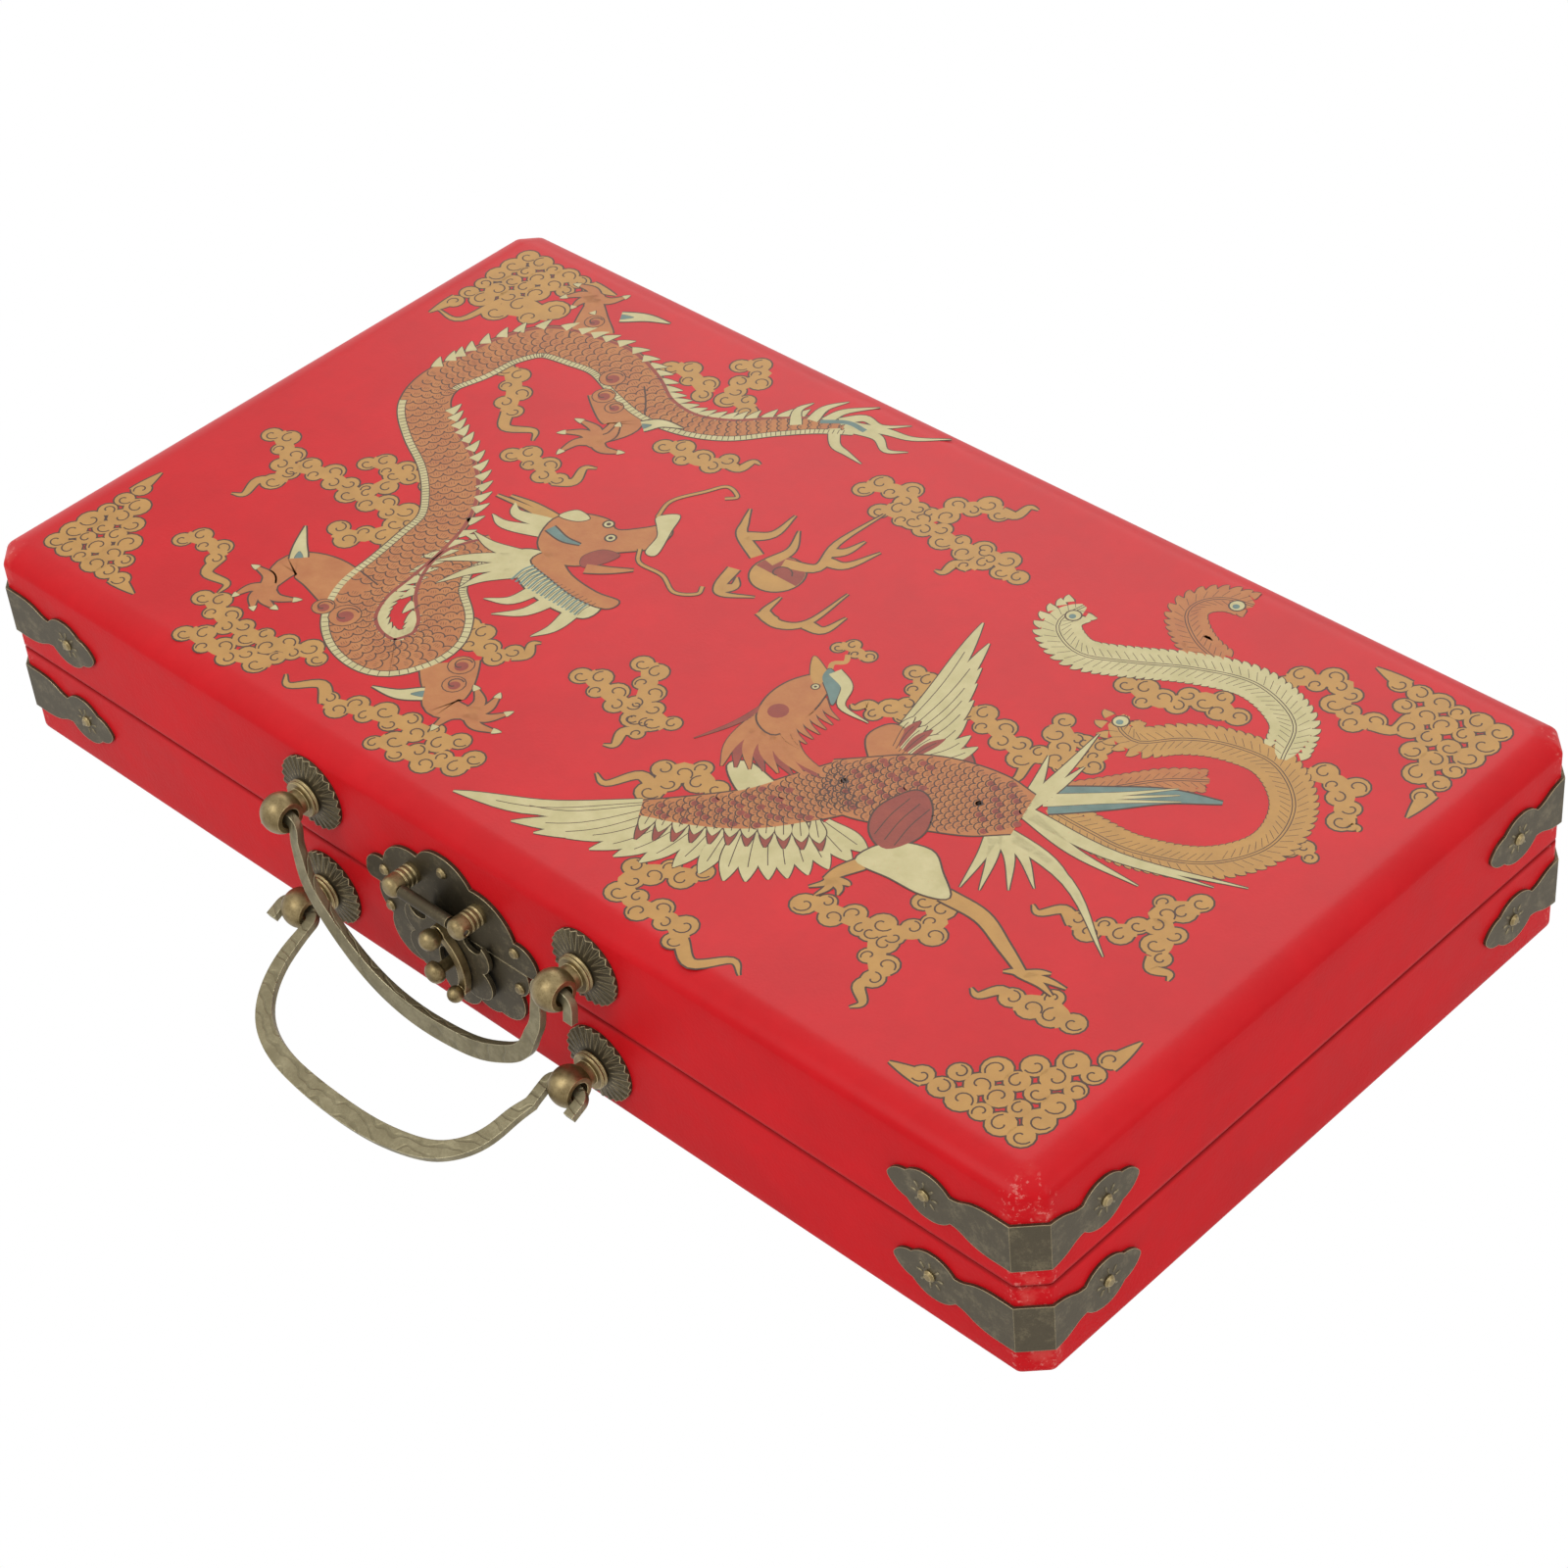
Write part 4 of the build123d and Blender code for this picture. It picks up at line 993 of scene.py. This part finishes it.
# The near wing: long feathers, then two rows of short ones over their roots.
near_wing_tips = [
    (-10.2, -83.3), (-1, -79), (8, -82), (15, -81.5), (22, -78), (29, -77.4),
    (35, -75.6), (41, -73.3), (48, -69.5), (54, -67.4), (60, -65.6), (64, -62.7),
    (67.5, -59), (70.5, -56), (73.3, -52.3), (75.5, -48), (77.8, -43), (78.5, -38.4),
]
for index, tip in enumerate(near_wing_tips):
    share = index / (len(near_wing_tips) - 1)
    root = np.array((27, -58.5)) * (1 - share) + np.array((64, -37)) * share
    tip = np.array(tip, float)
    middle = (root + tip) / 2 + (1 - share) * np.array((1.5, -3.5))
    feather(pale, [root, middle, tip], 2.6, 6 + 0.25 * index)
for index in range(11):
    share = index / 10
    root = np.array((30, -57)) * (1 - share) + np.array((62, -38)) * share
    reach = np.array((3.5 + 2.5 * share, -8.5 + 3.5 * share))
    feather(maroon, [root, root + reach * 0.6, root + reach * 1.35], 1.5, 11.5, False)
    feather(pale, [root, root + reach * 0.5, root + reach], 1.9, 13)

# The scaled arm of the wing and the body, drawn over it.
row_apart = 2.4
wing_arm = [(28, -60, 2.5), (38, -53, 5.0), (48, -44, 7.0), (55, -33, 8.5), (60, -24, 9.0)]
bird_body = [(54, -27, 7.5), (64, -22, 11.0), (75, -15, 12.5), (88, -10, 11.0), (97, -7, 7.0)]
scaled_lines = [paced(smooth(part, 6), 1.5) for part in (wing_arm, bird_body)]
for line in scaled_lines:
    brown.strip(line[:, :2], line[:, 2] + ink_edge, 12)
    orange.strip(line[:, :2], line[:, 2], 14)
for line in scaled_lines:
    side = normals(line)
    for index in range(1, len(line)):
        ahead = np.array((side[index][1], -side[index][0]))
        for row in np.arange(-5, 6) + (0.5 if index % 2 else 0.0):
            if abs(row * row_apart) < line[index, 2] - 1.0:
                centre = line[index, :2] + side[index] * row * row_apart
                if (index + int(row)) % 3 == 0:
                    maroon.patch(circle(*centre, 1.0, 8), 14.5)
                one_scale(centre, -ahead, 1.35, 15)

# Thigh, belly, legs and toes.
shape(maroon, [(72, -17), (70, -26), (74, -33), (81, -35), (84, -27), (81, -20), (76, -16)], 15.5)
for x in (73.5, 76.5, 79.5):
    line_work([(x, -19), (x + 0.4, -26), (x + 2, -33)], 0.14, 17.5)
shape(pale, [(80, -33), (78, -42), (88, -41.5), (97, -41), (102.5, -38), (96, -33), (89, -29)], 15.5)
brush(ochre, [(101, -38), (112, -38), (122, -42), (131, -46)], 1.2, 14, 0.9)
for toe in ((140, -47), (141, -43.5), (135.5, -42), (127, -48)):
    brush(ochre, [(131, -46), (np.array((131, -46)) + toe) / 2 + (0, 0.6), toe], 1.0, 14.5, 0.15)
brush(ochre, [(80, -42), (78, -47), (77.5, -51)], 1.1, 14, 0.9)
for toe in ((83, -49), (83, -53), (79, -56), (76, -55)):
    brush(ochre, [(78, -50), (np.array((78, -50)) + toe) / 2 + (1, 0.6), toe], 1.0, 14.5, 0.15)

# Breast, neck feathers and the crested head.
shape(pale, [(33, -37), (42, -42), (50, -41), (52, -36), (44, -34), (36, -33)], 12)
for index in range(9):
    start = np.array((27.0 + 0.9 * index, -18 - 0.2 * index))
    end = np.array((32 + 3.0 * index, -38 + 1.6 * index))
    middle = (start + end) / 2 + (-1.5, -2.0)
    brush(maroon if index % 2 else orange, [start, middle, end], 2.2, 13.5, 0.2, 0.25)
shape(orange, [(27, 1), (23, -6), (23, -14), (27, -21), (34, -22), (35, -12), (33, -4), (31, 1)], 15)
for index in range(7):
    root = np.array((33.5, -6 - 2.2 * index))
    brush(orange, [root, root + (4.0, -2.2), root + (8.5, -3.0)], 1.1, 14.6, 0.05, 0.22)
    hackle = [(24.5, -16 - index), (24 - 0.2 * index, -22 - index), (23 - 0.5 * index, -26 - 1.5 * index)]
    brush(maroon, hackle, 0.6, 14.6, 0.05, 0.15)
shape(ochre, [(21, 4.5), (25, -1), (29, -3), (29, 1), (26, 3)], 16, 0.25)
shape(teal, [(27.5, 3.5), (28, 0), (33, -3.5), (37, -6), (33.5, 0.5)], 16.5, 0.25)
brush(pale, [(29, 3.3), (35, 1), (39, -5), (48, -5.5)], 1.6, 17, 0.08, 0.25)
brown.patch(circle(29.2, -3.6, 1.2), 18)
pale.patch(circle(29.2, -3.6, 0.85), 18.6)
brown.patch(circle(29.2, -3.6, 0.4), 19.2)
maroon.patch(circle(28.5, -15.5, 2.6), 17)

for ink in (brown, ochre, orange, pale, teal, maroon):
    ink.make()

# ---------------------------------------------------------------- linings, dividers and drawers
# Red flannel glued into each half.  Two boards of thin stained wood part a middle well from two
# lift-out drawers of the same wood.


def flannel():
    """Red napped cloth: fine crossing threads under short fuzz."""
    shade = Shade("red_flannel")
    place = shade.place()
    x, y = shade.split(place)[:2]
    thread_turn = 2 * math.pi / (0.9 * MM)
    threads = (x * thread_turn).math("SINE") * (y * thread_turn).math("SINE")
    fuzz = shade.noise(0.5, 4.0, 0.7, place)
    worn = shade.noise(18.0, 3.0, 0.5, place)
    colour = shade.mix(worn, (0.30, 0.012, 0.018), (0.42, 0.02, 0.028))
    return shade.finish(
        Base__Color=shade.mix(fuzz * 0.4, colour, (0.55, 0.06, 0.06)),
        Roughness=0.95,
        Normal=shade.bump(fuzz + threads * 0.2, 0.2),
        Sheen__Weight=0.4,
    )


stained = wood("stained_wood", (0.16, 0.06, 0.03), (0.28, 0.11, 0.05))
cloth = flannel()
for half in ("base", "lid"):
    dress(cloth, half + "_lining")
    dress(stained, half + "_dividers", half + "_left_drawer", half + "_right_drawer")

# ---------------------------------------------------------------- corner brackets
# Stamped brass straps folded round the corners and nailed at the end of each arm, where the die
# has raised a flower of eight petals.  Brown patina, rubbed bright again on every edge.

petals = 8
nail_from_tip = 10.5 * MM
petal_root = 0.1 * MM
petal_rim = ((1.75, 0.0), (2.4, 0.42), (3.5, 0.5), (4.2, 0.0), (3.5, -0.5), (2.4, -0.42))
petal_ridge = ((2.3, 0.22), (3.5, 0.26))


def aged_metal(name, patina, metal, wear, rough, scrolled=False):
    """Aged metal: edges rubbed bright, stains and pits between, and winding lines if it is scrolled."""
    shade = Shade(name)
    place = shade.place()
    rounded = shade.node("ShaderNodeBevel", {"samples": 6}, {"Radius": 0.3 * MM}).out(0)
    flat = shade.node("ShaderNodeNewGeometry").out("Normal")
    both = {0: rounded, 1: flat}
    match = shade.node("ShaderNodeVectorMath", {"operation": "DOT_PRODUCT"}, both).out("Value")
    edge = ((1 - match) * 7.0).clip()
    clouds = shade.noise(4.5, 5.0, 0.72, place)
    specks = shade.noise(0.4, 4.0, 0.75, place)
    worn = (clouds * 0.6 + specks * 0.4).step_up(0.6 - 0.25 * wear, 1.0 - 0.2 * wear)
    bare = (edge * 0.9 + worn * 0.75).clip()
    colour = shade.mix(bare, patina, metal)
    colour = shade.mix(specks.step_up(0.5, 0.7) * 0.35, colour, tuple(c * 0.45 for c in patina))
    if scrolled:
        rings = {"wave_type": "RINGS", "rings_direction": "SPHERICAL"}
        winding = {"Vector": place, "Scale": 0.12 / MM, "Distortion": 9.0, "Detail": 1.0, "Detail Scale": 1.2}
        cut = 1 - shade.node("ShaderNodeTexWave", rings, winding).out(1).step_up(0.03, 0.2)
        colour = shade.mix(cut * 0.3, colour, tuple(c * 0.6 for c in patina))
        rounded = shade.bump(1 - cut, 0.08, rounded)
    return shade.finish(
        Base__Color=colour,
        Metallic=0.85 + bare * 0.15,
        Roughness=rough + 0.12 - bare * 0.15 + specks * 0.08,
        Normal=shade.bump(clouds * 0.5 + specks * 0.5, 0.03, rounded),
    )


def flower(middle, across, up, out):
    """Points and faces of low petals round a nail, lying in the plane of across and up.

    A petal is a six-sided rim in the strap's face, and a ridge of two points raised over it.
    """
    points, faces = [], []
    for turn in np.arange(petals) * 2 * math.pi / petals:
        away = math.cos(turn) * across + math.sin(turn) * up
        beside = np.cross(out, away)
        a, b, c, d, e, f, near, far = range(len(points), len(points) + 8)
        root = middle - out * petal_root
        points += [root + (away * reach + beside * swing) * MM for reach, swing in petal_rim]
        points += [middle + (away * reach + out * rise) * MM for reach, rise in petal_ridge]
        faces += [[a, b, near], [b, c, far, near], [c, d, far], [d, e, far], [e, f, near, far], [f, a, near]]
        faces += [[f, e, d, c, b, a]]
    return points, faces


strap_brass = aged_metal("strap_brass", (0.095, 0.078, 0.05), (0.50, 0.41, 0.24), 0.4, 0.36)
bright_brass = aged_metal("bright_brass", (0.16, 0.115, 0.05), (0.68, 0.54, 0.28), 0.8, 0.28)
petal_brass = aged_metal("petal_brass", (0.13, 0.11, 0.07), (0.6, 0.5, 0.3), 0.8, 0.32)
up = np.array((0.0, 0.0, 1.0))
for half in ("base", "lid"):
    dress(bright_brass, half + "_bracket_nails")
    points, faces = [], []
    for end, sign_y in (("front", -1), ("back", 1)):
        for side, sign_x in (("left", -1), ("right", 1)):
            bracket = f"{half}_{end}_{side}_bracket"
            dress(strap_brass, bracket)
            low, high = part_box(bracket)
            signs = np.array((sign_x, sign_y, 1))
            outer = np.where(signs > 0, high, low)
            nail = np.where(signs > 0, low, high) + signs * nail_from_tip
            nail[2] = (low[2] + high[2]) / 2
            on_long_arm = np.array((nail[0], outer[1], nail[2])), np.array((0.0, sign_y, 0.0))
            on_short_arm = np.array((outer[0], nail[1], nail[2])), np.array((sign_x, 0.0, 0.0))
            for middle, out in (on_long_arm, on_short_arm):
                more_points, more_faces = flower(middle, np.cross(up, out), up, out)
                faces += [[len(points) + index for index in face] for face in more_faces]
                points += more_points
    piece = new_piece(half + "_bracket_flowers", points, faces, half, petal_brass)

# ---------------------------------------------------------------- rosettes, eye posts and bails
# Fluted rosettes of stamped sheet lie under turned eye posts, two to a half.  A bail bent by hand
# from flat rod, faintly engraved with scrolls, hooks through each pair of eyes.

plate_brass = aged_metal("plate_brass", (0.075, 0.06, 0.035), (0.55, 0.45, 0.26), 0.35, 0.38)
bail_brass = aged_metal("bail_brass", (0.21, 0.18, 0.105), (0.56, 0.50, 0.32), 0.6, 0.34, scrolled=True)
for half in ("base", "lid"):
    dress(plate_brass, half + "_rosettes")
    dress(bright_brass, half + "_left_handle_post", half + "_right_handle_post")
dress(bail_brass, "upper_handle", "lower_handle")

# ---------------------------------------------------------------- latch
# Two scalloped back plates of stamped sheet are nailed over the seam.  Ringed barrels on the upper
# one hold the pin of the lobed hasp, whose crescent lever turns on a ball-headed rivet and locks
# over the cast knob on the lower one.

pin_steel = aged_metal("hinge_wire", (0.2, 0.19, 0.17), (0.6, 0.58, 0.52), 0.6, 0.35)
dress(plate_brass, "upper_latch_plate", "lower_latch_plate", "hasp")
dress(bright_brass, "upper_latch_nails", "lower_latch_nails", "latch_barrels", "latch_knob")
dress(bright_brass, "lever_rivet", "latch_lever")
dress(pin_steel, "hasp_pin")

# ---------------------------------------------------------------- hinges
# Two butt hinges on the back: a leaf nailed to each half, knuckles rolled from the same sheet and
# a steel pin through them.

for half in ("base", "lid"):
    dress(plate_brass, half + "_left_hinge_leaf", half + "_right_hinge_leaf")
    dress(bright_brass, half + "_hinge_nails")
dress(pin_steel, "hinge_pins")
